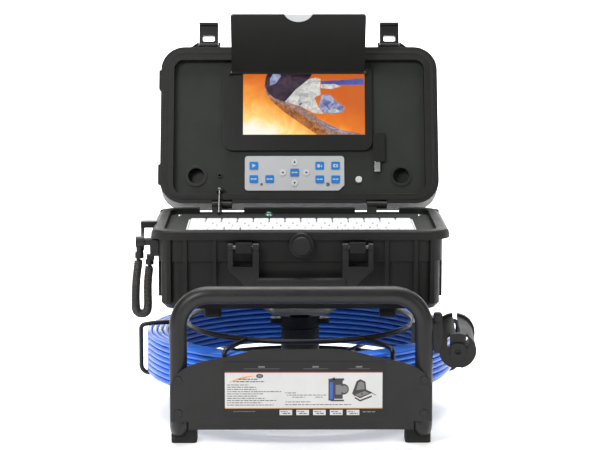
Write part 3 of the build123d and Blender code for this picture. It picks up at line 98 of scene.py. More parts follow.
class Nodes:
    """A material's node tree with short ways to add and join nodes."""

    def __init__(self, name):
        self.material = bpy.data.materials.new(name)
        self.material.use_nodes = True
        self.tree = self.material.node_tree
        self.shader = self.tree.nodes["Principled BSDF"]
        places = self.add("ShaderNodeTexCoord")
        self.coords, self.uv = places.outputs["Object"], places.outputs["UV"]

    def add(self, kind, **settings):
        node = self.tree.nodes.new(kind)
        for key, value in settings.items():
            setattr(node, key, value)
        return node

    def join(self, output, socket):
        self.tree.links.new(output, socket)

    def noise(self, scale, detail, rough=0.5, distortion=0.0):
        """Fractal noise from 0 to 1, scale in waves per metre."""
        node = self.add("ShaderNodeTexNoise")
        node.inputs["Scale"].default_value = scale
        node.inputs["Detail"].default_value = detail
        node.inputs["Roughness"].default_value = rough
        node.inputs["Distortion"].default_value = distortion
        self.join(self.coords, node.inputs["Vector"])
        return node.outputs["Fac"]

    def spread(self, value, low, high, new_low=0.0, new_high=1.0):
        """A value between low and high, made to run from new_low to new_high."""
        node = self.add("ShaderNodeMapRange")
        self.join(value, node.inputs["Value"])
        for key, number in zip(("From Min", "From Max", "To Min", "To Max"), (low, high, new_low, new_high)):
            node.inputs[key].default_value = number
        return node.outputs["Result"]

    def clouds(self, scale, detail, low=0.0, high=1.0, **shape):
        """Noise spread out to run from low to high."""
        return self.spread(self.noise(scale, detail, **shape), NOISE_LOW, NOISE_HIGH, low, high)

    def math(self, operation, first, second):
        node = self.add("ShaderNodeMath", operation=operation)
        for socket, value in zip(node.inputs, (first, second)):
            if isinstance(value, (int, float)):
                socket.default_value = value
            else:
                self.join(value, socket)
        return node.outputs[0]

    def blend(self, share, first, second):
        """Colour mix; each colour is three numbers or another node's output."""
        node = self.add("ShaderNodeMix", data_type="RGBA")
        self.join(share, node.inputs[MIX_SHARE])
        for socket, value in zip((node.inputs[MIX_FIRST], node.inputs[MIX_SECOND]), (first, second)):
            if isinstance(value, tuple):
                socket.default_value = (*value, 1)
            else:
                self.join(value, socket)
        return node.outputs[MIX_RESULT]


def tint(colour, factor):
    """A colour made darker or lighter."""
    return tuple(min(1.0, channel * factor) for channel in colour)


def finish_material(
    name, colour, rough, metal=0.0, grain=1500.0, relief=0.00002, mottle=0.18, rough_spread=0.07,
    edge=0.0005, wear=0.0, coat=0.0, specular=0.5,
):
    """A moulded, painted or metal surface: mottled, unevenly glossy, finely grained and worn at its edges."""
    nodes = Nodes(name)
    shader = nodes.shader
    shader.inputs["Metallic"].default_value = metal
    shader.inputs["Coat Weight"].default_value = coat
    shader.inputs["Coat Roughness"].default_value = 0.25
    shader.inputs["Specular IOR Level"].default_value = specular
    cloudy = nodes.clouds(28, 4)
    fine = nodes.clouds(grain * 0.6, 2)
    patches = nodes.blend(cloudy, tint(colour, 1 - mottle), tint(colour, 1 + mottle))
    colours = nodes.blend(nodes.math("MULTIPLY", fine, 0.35), patches, tint(colour, 1 + 2.2 * mottle))
    bevel = nodes.add("ShaderNodeBevel", samples=4)
    bevel.inputs["Radius"].default_value = edge
    if wear:
        facing = nodes.add("ShaderNodeVectorMath", operation="DOT_PRODUCT")
        geometry = nodes.add("ShaderNodeNewGeometry")
        nodes.join(bevel.outputs["Normal"], facing.inputs[0])
        nodes.join(geometry.outputs["Normal"], facing.inputs[1])
        rubbed = nodes.spread(facing.outputs["Value"], 0.99, 0.8, 0.0, wear)
        patchy = nodes.math("MULTIPLY", rubbed, nodes.spread(nodes.noise(140, 4), 0.35, 0.62))
        paler = 5.0 if max(colour) < 0.15 else 1.25  # wear shows most on a dark surface
        colours = nodes.blend(patchy, colours, tint(colour, paler))
    nodes.join(colours, shader.inputs["Base Color"])
    uneven = nodes.clouds(60, 5, rough - rough_spread, rough + rough_spread, rough=0.6)
    nodes.join(uneven, shader.inputs["Roughness"])
    bump = nodes.add("ShaderNodeBump")
    bump.inputs["Strength"].default_value = 1.0
    bump.inputs["Distance"].default_value = relief
    nodes.join(nodes.noise(grain, 2), bump.inputs["Height"])
    nodes.join(bevel.outputs["Normal"], bump.inputs["Normal"])
    nodes.join(bump.outputs["Normal"], shader.inputs["Normal"])
    return nodes.material


def glass_material():
    """Clear cover glass with a slightly uneven gloss."""
    nodes = Nodes("clear_glass")
    shader = nodes.shader
    shader.inputs["Base Color"].default_value = (1, 1, 1, 1)
    shader.inputs["Transmission Weight"].default_value = 1.0
    shader.inputs["IOR"].default_value = 1.2
    nodes.join(nodes.clouds(90, 4, 0.02, 0.08), shader.inputs["Roughness"])
    return nodes.material


def glowing(nodes, colours):
    """Finish a material of the screen's picture, which shines in these colours over a dark surface."""
    shader = nodes.shader
    nodes.join(colours, shader.inputs["Emission Color"])
    shader.inputs["Emission Strength"].default_value = 1.0
    shader.inputs["Base Color"].default_value = (0.01, 0.01, 0.01, 1)
    nodes.join(nodes.clouds(90, 4, 0.3, 0.4), shader.inputs["Roughness"])
    return nodes.material


def lit_material(name, low, high, scale):
    """A glowing patch of the picture: two colours in a cloudy mix."""
    nodes = Nodes(name)
    cloudy = nodes.spread(nodes.noise(scale, 6, 0.65, 1.2), 0.36, 0.64)
    return glowing(nodes, nodes.blend(cloudy, low, high))


# the pipe wall's colours, from its brightest place to its darkest
PIPE_GLOW = (
    (0.12, (1.0, 0.97, 0.84, 1)),
    (0.27, (1.0, 0.74, 0.25, 1)),
    (0.45, (0.98, 0.4, 0.05, 1)),
    (0.65, (0.8, 0.19, 0.01, 1)),
    (0.95, (0.62, 0.12, 0.008, 1)),
)


def pipe_wall_material():
    """The glowing inside of a pipe: pale at the lower left, through yellow to deep orange."""
    nodes = Nodes("lit_pipe_wall")
    parts = nodes.add("ShaderNodeSeparateXYZ")
    nodes.join(nodes.uv, parts.inputs[0])
    left, right = SCREEN_LEFT * MM, (SCREEN_LEFT + SCREEN_WIDTH) * MM
    bottom, top = SCREEN_BOTTOM * MM, (SCREEN_BOTTOM + SCREEN_HEIGHT) * MM
    across = nodes.spread(parts.outputs["X"], left, right, 0.0, 0.62)
    up = nodes.spread(parts.outputs["Y"], bottom, top, 0.0, 0.78)
    uneven = nodes.clouds(38, 6, -0.1, 0.1, rough=0.6, distortion=0.8)
    ramp = nodes.add("ShaderNodeValToRGB")
    nodes.join(nodes.math("ADD", nodes.math("ADD", across, up), uneven), ramp.inputs["Fac"])
    stops = ramp.color_ramp.elements
    for stop, (position, colour) in zip((stops[0], stops[1]), (PIPE_GLOW[0], PIPE_GLOW[-1])):
        stop.position = position
        stop.color = colour
    for position, colour in PIPE_GLOW[1:-1]:
        stops.new(position).color = colour
    return glowing(nodes, ramp.outputs["Color"])


def print_material(name, colour):
    """Ink on the label's film."""
    return finish_material(name, colour, 0.34, grain=900, relief=0.000006, mottle=0.05, edge=0.0001)


MATERIALS = {
    "black_steel": finish_material(
        "powder_coated_steel", (0.0085, 0.0084, 0.008), 0.42, grain=1100, relief=0.00003, wear=0.18,
        specular=0.4,
    ),
    "case_plastic": finish_material(
        "moulded_case", (0.0085, 0.0085, 0.0078), 0.5, grain=1900, relief=0.00004, wear=0.3, specular=0.3
    ),
    "trim_plastic": finish_material(
        "moulded_trim", (0.012, 0.012, 0.0115), 0.45, grain=1600, relief=0.00003, wear=0.3, specular=0.35
    ),
    "panel": finish_material(
        "textured_panel", (0.021, 0.0232, 0.0205), 0.6, grain=2300, relief=0.00005, mottle=0.1, wear=0.2,
        specular=0.25,
    ),
    "gloss_black": finish_material(
        "satin_bezel", (0.0125, 0.0128, 0.012), 0.34, grain=900, relief=0.000004, mottle=0.05,
        rough_spread=0.02, wear=0.2, specular=0.35,
    ),
    "rubber": finish_material(
        "rubber", (0.0125, 0.012, 0.0113), 0.68, grain=1300, relief=0.00005, mottle=0.25, wear=0.2,
        specular=0.3,
    ),
    "lead_rubber": finish_material(
        "lead_rubber", (0.034, 0.031, 0.028), 0.55, grain=1300, relief=0.00004, mottle=0.2, edge=0.0001
    ),
    "cable": finish_material(
        "blue_sheath", (0.02, 0.16, 0.72), 0.35, grain=700, relief=0.00003, mottle=0.14, coat=0.3
    ),
    "wire": finish_material(
        "coated_wire", (0.0085, 0.0085, 0.0085), 0.36, grain=1300, relief=0.00002, wear=0.2, specular=0.45
    ),
    "steel": finish_material("bright_steel", (0.5, 0.5, 0.49), 0.27, metal=1.0, grain=2400, relief=0.00001),
    "dark_steel": finish_material(
        "darkened_steel", (0.16, 0.16, 0.158), 0.38, metal=1.0, grain=2400, relief=0.00001, wear=0.5
    ),
    "zinc": finish_material("satin_metal", (0.62, 0.62, 0.61), 0.3, metal=1.0, grain=3000, relief=0.00001),
    "bracket": finish_material("grey_paint", (0.27, 0.28, 0.27), 0.45, grain=1300, relief=0.00003, wear=0.3),
    "white_plastic": finish_material(
        "white_plastic", (0.66, 0.67, 0.68), 0.45, grain=2600, relief=0.00002, mottle=0.03, edge=0.0003
    ),
    "keypad": finish_material(
        "keypad_film", (0.54, 0.55, 0.56), 0.42, grain=3200, relief=0.000015, mottle=0.03, edge=0.0003
    ),
    "blue_keys": finish_material(
        "blue_film", (0.006, 0.2, 0.62), 0.34, grain=2600, relief=0.00001, mottle=0.08, edge=0.0003
    ),
    "green": finish_material("green_lens", (0.015, 0.28, 0.17), 0.18, grain=900, relief=0.00001, coat=0.6),
    "screen": finish_material("display_back", (0.012, 0.012, 0.013), 0.3),
    "glass": glass_material(),
    "label": finish_material(
        "label_film", (0.0085, 0.0085, 0.0085), 0.36, grain=900, relief=0.000006, mottle=0.06,
        rough_spread=0.02, specular=0.35,
    ),
    "board": finish_material("circuit_board", (0.012, 0.12, 0.04), 0.4, grain=900, relief=0.00003),
    "battery": finish_material("battery_wrap", (0.02, 0.09, 0.3), 0.3, grain=700, relief=0.00004, coat=0.3),
    "print_white": print_material("print_white", (0.6, 0.6, 0.59)),
    "print_grey": print_material("print_grey", (0.17, 0.17, 0.17)),
    "print_ink": print_material("print_ink", (0.03, 0.03, 0.03)),
    "print_red": print_material("print_red", (0.22, 0.014, 0.01)),
    "print_gold": print_material("print_gold", (0.42, 0.25, 0.1)),
    "print_orange": print_material("print_orange", (0.75, 0.3, 0.03)),
    "print_blue": print_material("print_blue", (0.03, 0.1, 0.42)),
    "lit_wall": pipe_wall_material(),
    "lit_hole": lit_material("lit_hole", (0.004, 0.002, 0.008), (0.06, 0.03, 0.06), 90),
    "lit_shade": lit_material("lit_shade", (0.1, 0.03, 0.02), (0.62, 0.2, 0.03), 160),
    "lit_pale": lit_material("lit_pale", (0.35, 0.36, 0.36), (0.78, 0.79, 0.74), 120),
    "lit_slate": lit_material("lit_slate", (0.08, 0.09, 0.3), (0.4, 0.45, 0.62), 140),
    "lit_blue": lit_material("lit_blue", (0.03, 0.05, 0.26), (0.09, 0.13, 0.5), 60),
    "lit_mud": lit_material("lit_mud", (0.1, 0.07, 0.09), (0.5, 0.28, 0.2), 190),
    "lit_text": lit_material("lit_text", (0.85, 0.85, 0.85), (1.0, 1.0, 1.0), 50),
}

for row in frame["record"]["subparts"]:
    cad_node = frame["nodes"].get(row["node"])
    if cad_node:
        cad_node.data.materials.clear()
        cad_node.data.materials.append(MATERIALS[row["material_slot"]])


# ---------------------------------------------------------------- mesh helpers
def link(obj):
    """Put a new object in the scene."""
    bpy.context.scene.collection.objects.link(obj)
    return obj


def dress(obj, body, materials, replaces=()):
    """Give a piece its materials, the body it rides on and the CAD nodes it stands for."""
    for material in materials:
        obj.data.materials.append(MATERIALS[material])
    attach(obj, body)
    if replaces:
        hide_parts(*replaces)
    return obj


def piece(name, builder, body, materials, replaces=(), sharp=35.0, solid=True):
    """Turn a bmesh into a shown piece that rides on a body; flat artwork keeps its facing."""
    mesh = bpy.data.meshes.new(name)
    if solid:
        bmesh.ops.recalc_face_normals(builder, faces=builder.faces)
    builder.to_mesh(mesh)
    builder.free()
    mesh.shade_smooth()
    mesh.set_sharp_from_angle(angle=math.radians(sharp))
    return dress(link(bpy.data.objects.new(name, mesh)), body, materials, replaces)


def polar(angle, reach, height):
    """The point at an angle, reach and height round the Z axis."""
    return Vector((reach * math.cos(angle), reach * math.sin(angle), height))


def loft(builder, rings):
    """Skin between closed rings of equal count, with flat ends."""
    verts = [[builder.verts.new(point) for point in ring] for ring in rings]
    count = len(verts[0])
    for ring, following in zip(verts, verts[1:]):
        for i in range(count):
            j = (i + 1) % count
            builder.faces.new((ring[i], ring[j], following[j], following[i]))
    builder.faces.new(list(reversed(verts[0])))
    builder.faces.new(verts[-1])


def lathe(builder, profile, place, segments):
    """Turn (radius, height) points, in millimetres, about the local Z axis of a placement matrix."""
    turns = [2 * math.pi * i / segments for i in range(segments)]
    rings = []
    for radius, height in profile:
        rings.append([place @ polar(turn, radius * MM, height * MM) for turn in turns])
    loft(builder, rings)


def rounded_outline(width, depth, radius):
    """Rectangle with round corners, centred, as (x, y) points."""
    steps = 4
    points = []
    for turn, (side_x, side_y) in enumerate(((1, 1), (-1, 1), (-1, -1), (1, -1))):
        centre_x, centre_y = side_x * (width / 2 - radius), side_y * (depth / 2 - radius)
        for step in range(steps + 1):
            angle = math.pi / 2 * (turn + step / steps)
            points.append((centre_x + radius * math.cos(angle), centre_y + radius * math.sin(angle)))
    return points


def flat(builder, place, outline, height, material=0):
    """One flat patch facing up in a placement's own axes; outline and height in millimetres."""
    area = sum(x * v - u * y for (x, y), (u, v) in zip(outline, outline[1:] + outline[:1]))
    if area < 0:
        outline = outline[::-1]
    plan = builder.loops.layers.uv.verify()
    face = builder.faces.new([builder.verts.new(place @ mm(x, y, height)) for x, y in outline])
    face.material_index = material
    for loop, (x, y) in zip(face.loops, outline):
        loop[plan].uv = (x * MM, y * MM)


def box(x0, y0, x1, y1):
    """Outline of a rectangle between two corners."""
    return [(x0, y0), (x1, y0), (x1, y1), (x0, y1)]


def disc(x, y, radius, squash=1.0):
    """Outline of a circle, or of an ellipse squashed in height."""
    count = 28
    turns = [2 * math.pi * i / count for i in range(count)]
    return [(x + radius * math.cos(turn), y + radius * squash * math.sin(turn)) for turn in turns]


def stroke(line, width):
    """Outline of a flat band along a line, tapered to both ends."""
    left, right = [], []
    for i, (x, y) in enumerate(line):
        before, after = line[max(i - 1, 0)], line[min(i + 1, len(line) - 1)]
        run = Vector((after[0] - before[0], after[1] - before[1])).normalized()
        half = width / 2 * (0.25 + math.sin(math.pi * i / (len(line) - 1)))
        left.append((x - run.y * half, y + run.x * half))
        right.append((x + run.y * half, y - run.x * half))
    return left + right[::-1]


WELD_GAP = 0.002 * MM  # closer corners are one and the same


def islands(node):
    """(low, high) corners of each separate solid of a CAD node, from left to right."""
    builder = bmesh.new()
    builder.from_mesh(frame["nodes"][node].data)
    bmesh.ops.remove_doubles(builder, verts=builder.verts, dist=WELD_GAP)
    found, seen = [], set()
    for start in builder.verts:
        if start in seen:
            continue
        group, queue = [], [start]
        seen.add(start)
        while queue:
            vert = queue.pop()
            group.append(vert.co.copy())
            for edge in vert.link_edges:
                other = edge.other_vert(vert)
                if other not in seen:
                    seen.add(other)
                    queue.append(other)
        low = Vector([min(point[axis] for point in group) for axis in range(3)])
        high = Vector([max(point[axis] for point in group) for axis in range(3)])
        found.append((low, high))
    builder.free()
    return sorted(found, key=lambda corners: corners[0].x)


def nurbs(name, points, resolution, radius=0.0, sides=2):
    """Curve object of one smooth open spline with these control points."""
    curve = bpy.data.curves.new(name, "CURVE")
    curve.dimensions = "3D"
    curve.bevel_depth = radius
    curve.bevel_resolution = sides
    curve.use_fill_caps = True
    spline = curve.splines.new("NURBS")
    spline.points.add(len(points) - 1)
    for slot, point in zip(spline.points, points):
        slot.co = (*point, 1.0)
    spline.order_u = 3
    spline.use_endpoint_u = True
    spline.resolution_u = resolution
    return link(bpy.data.objects.new(name, curve))


def spline_line(route):
    """Points along the smooth curve of a route."""
    guide = nurbs("guide", route, resolution=24)
    bpy.context.view_layer.update()
    mesh = bpy.data.meshes.new_from_object(guide.evaluated_get(bpy.context.evaluated_depsgraph_get()))
    line = [vert.co.copy() for vert in mesh.vertices]
    bpy.data.objects.remove(guide)
    bpy.data.meshes.remove(mesh)
    return line


def turn_bulge(points_per_turn):
    """How much further out a round turn's control points lie than the smooth curve that they make."""
    return 1 / math.cos(math.pi / points_per_turn)


def smooth(share):
    """A share from 0 to 1, eased at both ends."""
    share = min(1.0, max(0.0, share))
    return share * share * (3 - 2 * share)


# ---------------------------------------------------------------- push cable
CABLE_R = 3.1 * MM
REEL = Vector((0, -5 * MM, 0))
LAYERS, ROWS = 4, 8
OUTER_R, INNER_R = 182.2 * MM, 163.2 * MM
LOW_Z, HIGH_Z = 49.2 * MM, 94.1 * MM
POINTS_PER_TURN = 20
START_ANGLE, END_ANGLE = math.radians(93.8), math.radians(150.0)
CROSSINGS = (0.44, 0.92, 0.3, 0.6)  # where each layer's turns step to the next row
CROSSING_SPAN = 0.1
RADIUS_WAVE, HEIGHT_WAVE, LOOSENESS = 0.35 * MM, 0.22 * MM, 0.1 * MM  # how unevenly the turns lie
TAIL_ROUTE = [
    mm(-139.3, 75.4, 49.2), mm(-154, 24, 49.2), mm(-146, -34, 49.2), mm(-118, -78, 49.6),
    mm(-84, -103, 52.5), mm(-50, -109.5, 57.8), mm(-20, -109.5, 57.8),
]

cable_random = random.Random(4)


def turn_place(index):
    """Radius and height of a numbered turn: layers go inward, rows go up and down by turns."""
    layer, row = divmod(index, ROWS)
    step = row if layer % 2 == 0 else ROWS - 1 - row
    radius = OUTER_R - (OUTER_R - INNER_R) * layer / (LAYERS - 1)
    return radius, LOW_Z + (HIGH_Z - LOW_Z) * step / (ROWS - 1)


def winding():
    """Control points of the wound cable, from the gland to the last inner turn."""
    turns = LAYERS * ROWS - 1 + (END_ANGLE - START_ANGLE) / (2 * math.pi)
    bulge = turn_bulge(POINTS_PER_TURN)
    points = []
    for i in range(int(turns * POINTS_PER_TURN)):
        whole, part = divmod(i / POINTS_PER_TURN, 1)
        index = int(whole)
        share = smooth((part - CROSSINGS[index // ROWS]) / CROSSING_SPAN)
        radius, height = turn_place(index)
        next_radius, next_height = turn_place(min(index + 1, LAYERS * ROWS - 1))
        radius += (next_radius - radius) * share
        height += (next_height - height) * share
        angle = START_ANGLE + 2 * math.pi * i / POINTS_PER_TURN
        radius += RADIUS_WAVE * math.sin(3 * angle + 0.6)
        height += HEIGHT_WAVE * (1 + math.sin(2 * angle)) / 2
        height += cable_random.uniform(-LOOSENESS, LOOSENESS)
        points.append(REEL + polar(angle, radius * bulge, height))
    return points


push_cable = nurbs("push_cable", winding() + TAIL_ROUTE, radius=CABLE_R, resolution=3)
dress(push_cable, "reel", ["cable"], replaces=("cable_coil", "cable_tail"))


# ---------------------------------------------------------------- curly lead
LEAD_ROUTE = [
    mm(-190, -65, 191.5), mm(-192.4, -65.6, 176), mm(-194.2, -66, 157), mm(-194.6, -65.8, 138.5),
    mm(-193.6, -65, 125), mm(-181, -64.4, 125), mm(-179.8, -64.2, 138.5), mm(-180.4, -64.4, 157),
    mm(-179.2, -64.8, 172), mm(-177.5, -65, 184),
]
LEAD_WIRE_R = 1.3 * MM
HELIX_R, HELIX_PITCH = 4.1 * MM, 2.58 * MM
HELIX_POINTS = 14
HELIX_TAPER = 4 * MM
BEND_Z, BEND_PITCH = 134 * MM, 0.6  # the turns lie closer round the lead's lowest bend


def helix(line):
    """Control points of a helix round a line, drawn in to the line at both ends."""
    lengths = [0.0]
    for point, following in zip(line, line[1:]):
        lengths.append(lengths[-1] + (following - point).length)
    total = lengths[-1]
    bulge = turn_bulge(HELIX_POINTS)
    side = Vector((0, 1, 0))
    points = [line[0]]
    at, travelled, i = 0, 0.0, 0
    while True:
        pitch = HELIX_PITCH * (BEND_PITCH if line[at].z < BEND_Z else 1.0)
        travelled += pitch / HELIX_POINTS
        i += 1
        if travelled >= total:
            break
        while lengths[at + 1] < travelled:
            at += 1
        share = (travelled - lengths[at]) / (lengths[at + 1] - lengths[at])
        centre = line[at].lerp(line[at + 1], share)
        along = (line[at + 1] - line[at]).normalized()
        side = (side - along * side.dot(along)).normalized()
        across = along.cross(side)
        radius = HELIX_R * bulge * smooth(min(travelled, total - travelled) / HELIX_TAPER)
        angle = 2 * math.pi * i / HELIX_POINTS
        points.append(centre + (side * math.cos(angle) + across * math.sin(angle)) * radius)
    return points + [line[-1]]


curly_lead = nurbs("coiled_lead", helix(spline_line(LEAD_ROUTE)), radius=LEAD_WIRE_R, resolution=2, sides=1)
dress(curly_lead, STAND, ["lead_rubber"], replaces=("curly_lead",))


# ---------------------------------------------------------------- camera head
# turned outlines in millimetres: (radius, distance from the cable's end, or for a lamp from the window's seat)
WINDOW_SEAT = 82.2
HEAD_PROFILE = (
    (3.6, 0), (4.6, 0.6), (4.6, 44.6), (5.6, 45.0), (7.4, 45.6), (7.9, 46.2), (7.9, 51.4), (8.6, 52.2),
    (11.0, 54.6), (11.5, 55.4), (11.5, 60), (11.0, 60.4), (11.0, 61.4), (11.5, 61.8), (11.5, 64),
    (11.0, 64.4), (11.0, 65.4), (11.5, 65.8), (11.5, 79.2), (11.1, 80.6), (9.6, 83.6), (9.2, 83.9),
    (7.7, 83.9), (7.5, 83.6), (7.5, WINDOW_SEAT), (0.4, WINDOW_SEAT),
)
WINDOW_PROFILE = (
    (4.2, WINDOW_SEAT), (4.2, 83.4), (3.6, 83.9), (2.2, 83.9), (1.8, 83.3), (0.2, 83.1),
)
LED_PROFILE = ((0.9, 0), (0.9, 0.5), (0.5, 1.0), (0.05, 1.15))
LED_COUNT, LED_CIRCLE_R = 12, 5.9
SPRING_R, SPRING_WIRE_R = 5.55 * MM, 0.95 * MM
SPRING_START, SPRING_LENGTH = 0.8 * MM, 42.68 * MM
SPRING_TURNS, SPRING_POINTS = 14, 16


def camera_spring(place):
    """The spring round the head's neck, as one open curve."""
    reach = SPRING_R * turn_bulge(SPRING_POINTS)
    steps = SPRING_TURNS * SPRING_POINTS
    route = []
    for i in range(steps + 1):
        along = SPRING_START + SPRING_LENGTH * i / steps
        route.append(place @ polar(2 * math.pi * i / SPRING_POINTS, reach, along))
    spring = nurbs("camera_spring", route, radius=SPRING_WIRE_R, resolution=2)
    return dress(spring, "reel", ["steel"])


def camera_head():
    """Spring, collar, grooved body, window and light ring, along +X from the cable's end."""
    place = Matrix.Translation(TAIL_ROUTE[-1]) @ Matrix.Rotation(math.pi / 2, 4, "Y")
    metal, window = bmesh.new(), bmesh.new()
    lathe(metal, HEAD_PROFILE, place, segments=56)
    body = piece("camera_body", metal, "reel", ["steel"], replaces=("camera_head",))
    lathe(window, WINDOW_PROFILE, place, segments=32)
    for i in range(LED_COUNT):
        angle = 2 * math.pi * i / LED_COUNT
        spot = Matrix.Translation(polar(angle, LED_CIRCLE_R * MM, WINDOW_SEAT * MM))
        lathe(window, LED_PROFILE, place @ spot, segments=12)
    lens = piece("camera_window", window, "reel", ["white_plastic"])
    return [body, lens, camera_spring(place)]


head_pieces = camera_head()
winding()[0]


# ---------------------------------------------------------------- picture on the screen
PICTURE_WIDTH, PICTURE_HEIGHT = 100, 56  # the picture's own units
PICTURE_FACE, PATCH_STEP = SCREEN_FACE + 0.03, 0.02
PICTURE_MATERIALS = [
    "lit_wall", "lit_hole", "lit_shade", "lit_pale", "lit_slate", "lit_blue", "lit_mud", "lit_text",
]
# patches over the pipe's wall: material, layer and outline
PATCHES = (
    ("lit_shade", 1, (
        (19, 40), (23, 30), (33, 21), (48, 10), (62, 0), (78, 0), (60, 13), (46, 23), (36, 30), (30, 36),
    )),
    ("lit_mud", 2, (
        (17.2, 43), (19, 36), (26, 29.5), (36, 25), (47, 19), (56, 12), (64, 9), (60, 17), (46, 26),
        (38, 31), (30, 38), (21, 43),
    )),
    ("lit_hole", 3, (
        (17.8, 43.3), (20.1, 37.1), (26.1, 31.8), (34.4, 29.2), (43.4, 39.8), (54, 47.7), (58.5, 56),
        (21.6, 56), (18.6, 50.4),
    )),
    ("lit_slate", 4, ((22, 43), (27, 45), (31, 51), (30, 55), (25, 54), (22, 49))),
    ("lit_blue", 4, ((63.8, 46.8), (80, 47.8), (99.2, 49.5), (99.2, 43.6), (80, 43.8), (64.6, 43.3))),
    ("lit_pale", 5, (
        (34.4, 29.2), (43.4, 39.8), (54, 48.6), (60, 50), (63.8, 48.6), (63.3, 41.5), (63.8, 35.3),
        (58.5, 32.7), (61.5, 25.6), (66, 18.6), (58.5, 19.4), (46.5, 25.6),
    )),
    ("lit_pale", 6, ((63.8, 44.2), (75, 44.5), (81, 42.4), (72, 40), (63.8, 41))),
    ("lit_slate", 7, (
        (64.6, 34.5), (68, 35.5), (72, 34.5), (75, 31), (78, 28.3), (83.4, 24.7), (82.7, 20.3),
        (75, 18.6), (66, 19.4), (62.3, 25.6),
    )),
    ("lit_mud", 7, ((57, 17.7), (66, 12), (80, 5), (98, 1.5), (98, 0), (72, 0), (62, 8))),
    ("lit_pale", 8, ((70, 22), (76, 23), (80, 21), (76, 19.6), (70, 20))),
    ("lit_hole", 8, ((46, 27), (48, 28.4), (48.6, 27.4), (46.6, 26))),
    ("lit_slate", 8, ((62, 13), (70, 8.5), (84, 3.5), (92, 1.5), (80, 3), (66, 8.8))),
)
# the row of digits, as plain bars: each one's left edge and width
DIGITS = ((11, 1.6), (13, 1.2), (18, 1.6), (20.2, 1.6), (22.6, 0.6), (24, 1.6), (26.2, 1.6))
DIGITS_BOTTOM, DIGITS_TOP = 53.2, 55.2
DIGITS_FACE = PANEL_FACE + 0.02


def screen_picture():
    """View into a pipe: dark bore, debris, a wet streak and a row of digits."""
    builder = bmesh.new()

    def patch(outline, height, material):
        """One patch of the picture, its outline in the picture's units."""
        corners = []
        for u, v in outline:
            across = SCREEN_LEFT + SCREEN_WIDTH * u / PICTURE_WIDTH
            corners.append((across, SCREEN_BOTTOM + SCREEN_HEIGHT * v / PICTURE_HEIGHT))
        flat(builder, LID, corners, height, PICTURE_MATERIALS.index(material))

    patch(box(0, 0, PICTURE_WIDTH, PICTURE_HEIGHT), PICTURE_FACE, "lit_wall")
    for material, layer, outline in PATCHES:
        patch(outline, PICTURE_FACE + PATCH_STEP * layer, material)
    for left, width in DIGITS:
        patch(box(left, DIGITS_BOTTOM, left + width, DIGITS_TOP), DIGITS_FACE, "lit_text")
    piece("screen_picture", builder, "lid", PICTURE_MATERIALS, solid=False)


screen_picture()


# ---------------------------------------------------------------- artwork on the front label
LABEL_INKS = [
    "print_white", "print_grey", "print_ink", "print_red", "print_gold", "print_orange", "print_blue",
]
WHITE, GREY, INK, RED, GOLD, ORANGE, BLUE = range(len(LABEL_INKS))
# heights over the label's face, in millimetres: large fields, then what is printed over them
FIELD_LAYER, SWOOSH_LAYER, WORD_LAYER, BADGE_LAYER = 0.05, 0.1, 0.12, 0.14
FIELD_LEFT, FIELD_RIGHT = -85.5, 91.0
FIELD_BOTTOM, FIELD_TOP = 44.7, 84.9
RED_BAND, GOLD_BAND = 1.2, 0.9
BADGE_X, BADGE_Z = -46.5, 81.2
SWOOSH_STEPS = 12
# right ends of the long paragraph's lines
PARAGRAPH_ENDS = (-59, -50, -50, -22, -42, -50, -41, -28, -44, -31)
PARAGRAPH_LEFT, PARAGRAPH_TOP, LINE_SPACING = -83, 70.6, 2.55
# short lines of the middle column: left, right and height
SHORT_LINES = (
    (-18, -5, 61.5), (-16, 28, 59), (-10, 4, 56.6), (16, 24, 56.6), (-17.5, 11, 51.2), (-18, 56, 48),
)
BOXES_X, BOX_WIDTH = (-24.3, -5.5, 13.3, 32.2, 51.0), 14.2
BOX_BOTTOM, BOX_TOP = 36.4, 42.4
# drawings: outline, height over the label's face and ink
REEL_DRAWING = (
    (box(30.5, 53, 37, 78), 0.08, INK),
    (box(31.8, 54.5, 35.6, 74), 0.1, BLUE),
    (box(37, 55, 46.5, 76), 0.08, INK),
    (disc(47.2, 66, 6.2), 0.09, INK),
    (disc(48.2, 66, 4.2), 0.11, GREY),
    (box(38.5, 60, 45, 71), 0.12, GREY),
    (box(33, 76, 48, 78.4), 0.1, INK),
    (box(33, 52.2, 48, 54), 0.1, INK),
    (disc(36.6, 78, 1.6), 0.1, GREY),
)
CASE_DRAWING = (
    ([(57, 61), (62, 75), (66, 77.5), (72, 74.5), (73, 64), (60, 58)], 0.08, INK),
    ([(61.5, 65), (64, 73.5), (67, 75), (70.5, 73), (71, 66)], 0.1, GREY),
    ([(58, 60), (72, 66), (80, 62), (66, 55.5)], 0.12, INK),
    ([(60, 59.6), (71, 63.8), (76.5, 61.4), (66, 57.4)], 0.14, GREY),
    ([(60, 57.5), (66, 53.8), (79, 59), (79, 57), (66, 51.8), (60, 55.5)], 0.09, INK),
    ([(76, 63.5), (84, 59.5), (84, 58.8), (76, 62.5)], 0.09, INK),
    (disc(68, 60.6, 1.2), 0.16, RED),
)


def words(builder, random_source, x0, x1, y, height, material):
    """A row of short printed bars in place of text."""
    x = x0
    while x < x1:
        width = min(random_source.uniform(1.4, 5.2), x1 - x)
        flat(builder, LABEL, box(x, y, x + width, y + height), WORD_LAYER, material)
        x += width + random_source.uniform(0.7, 1.1)


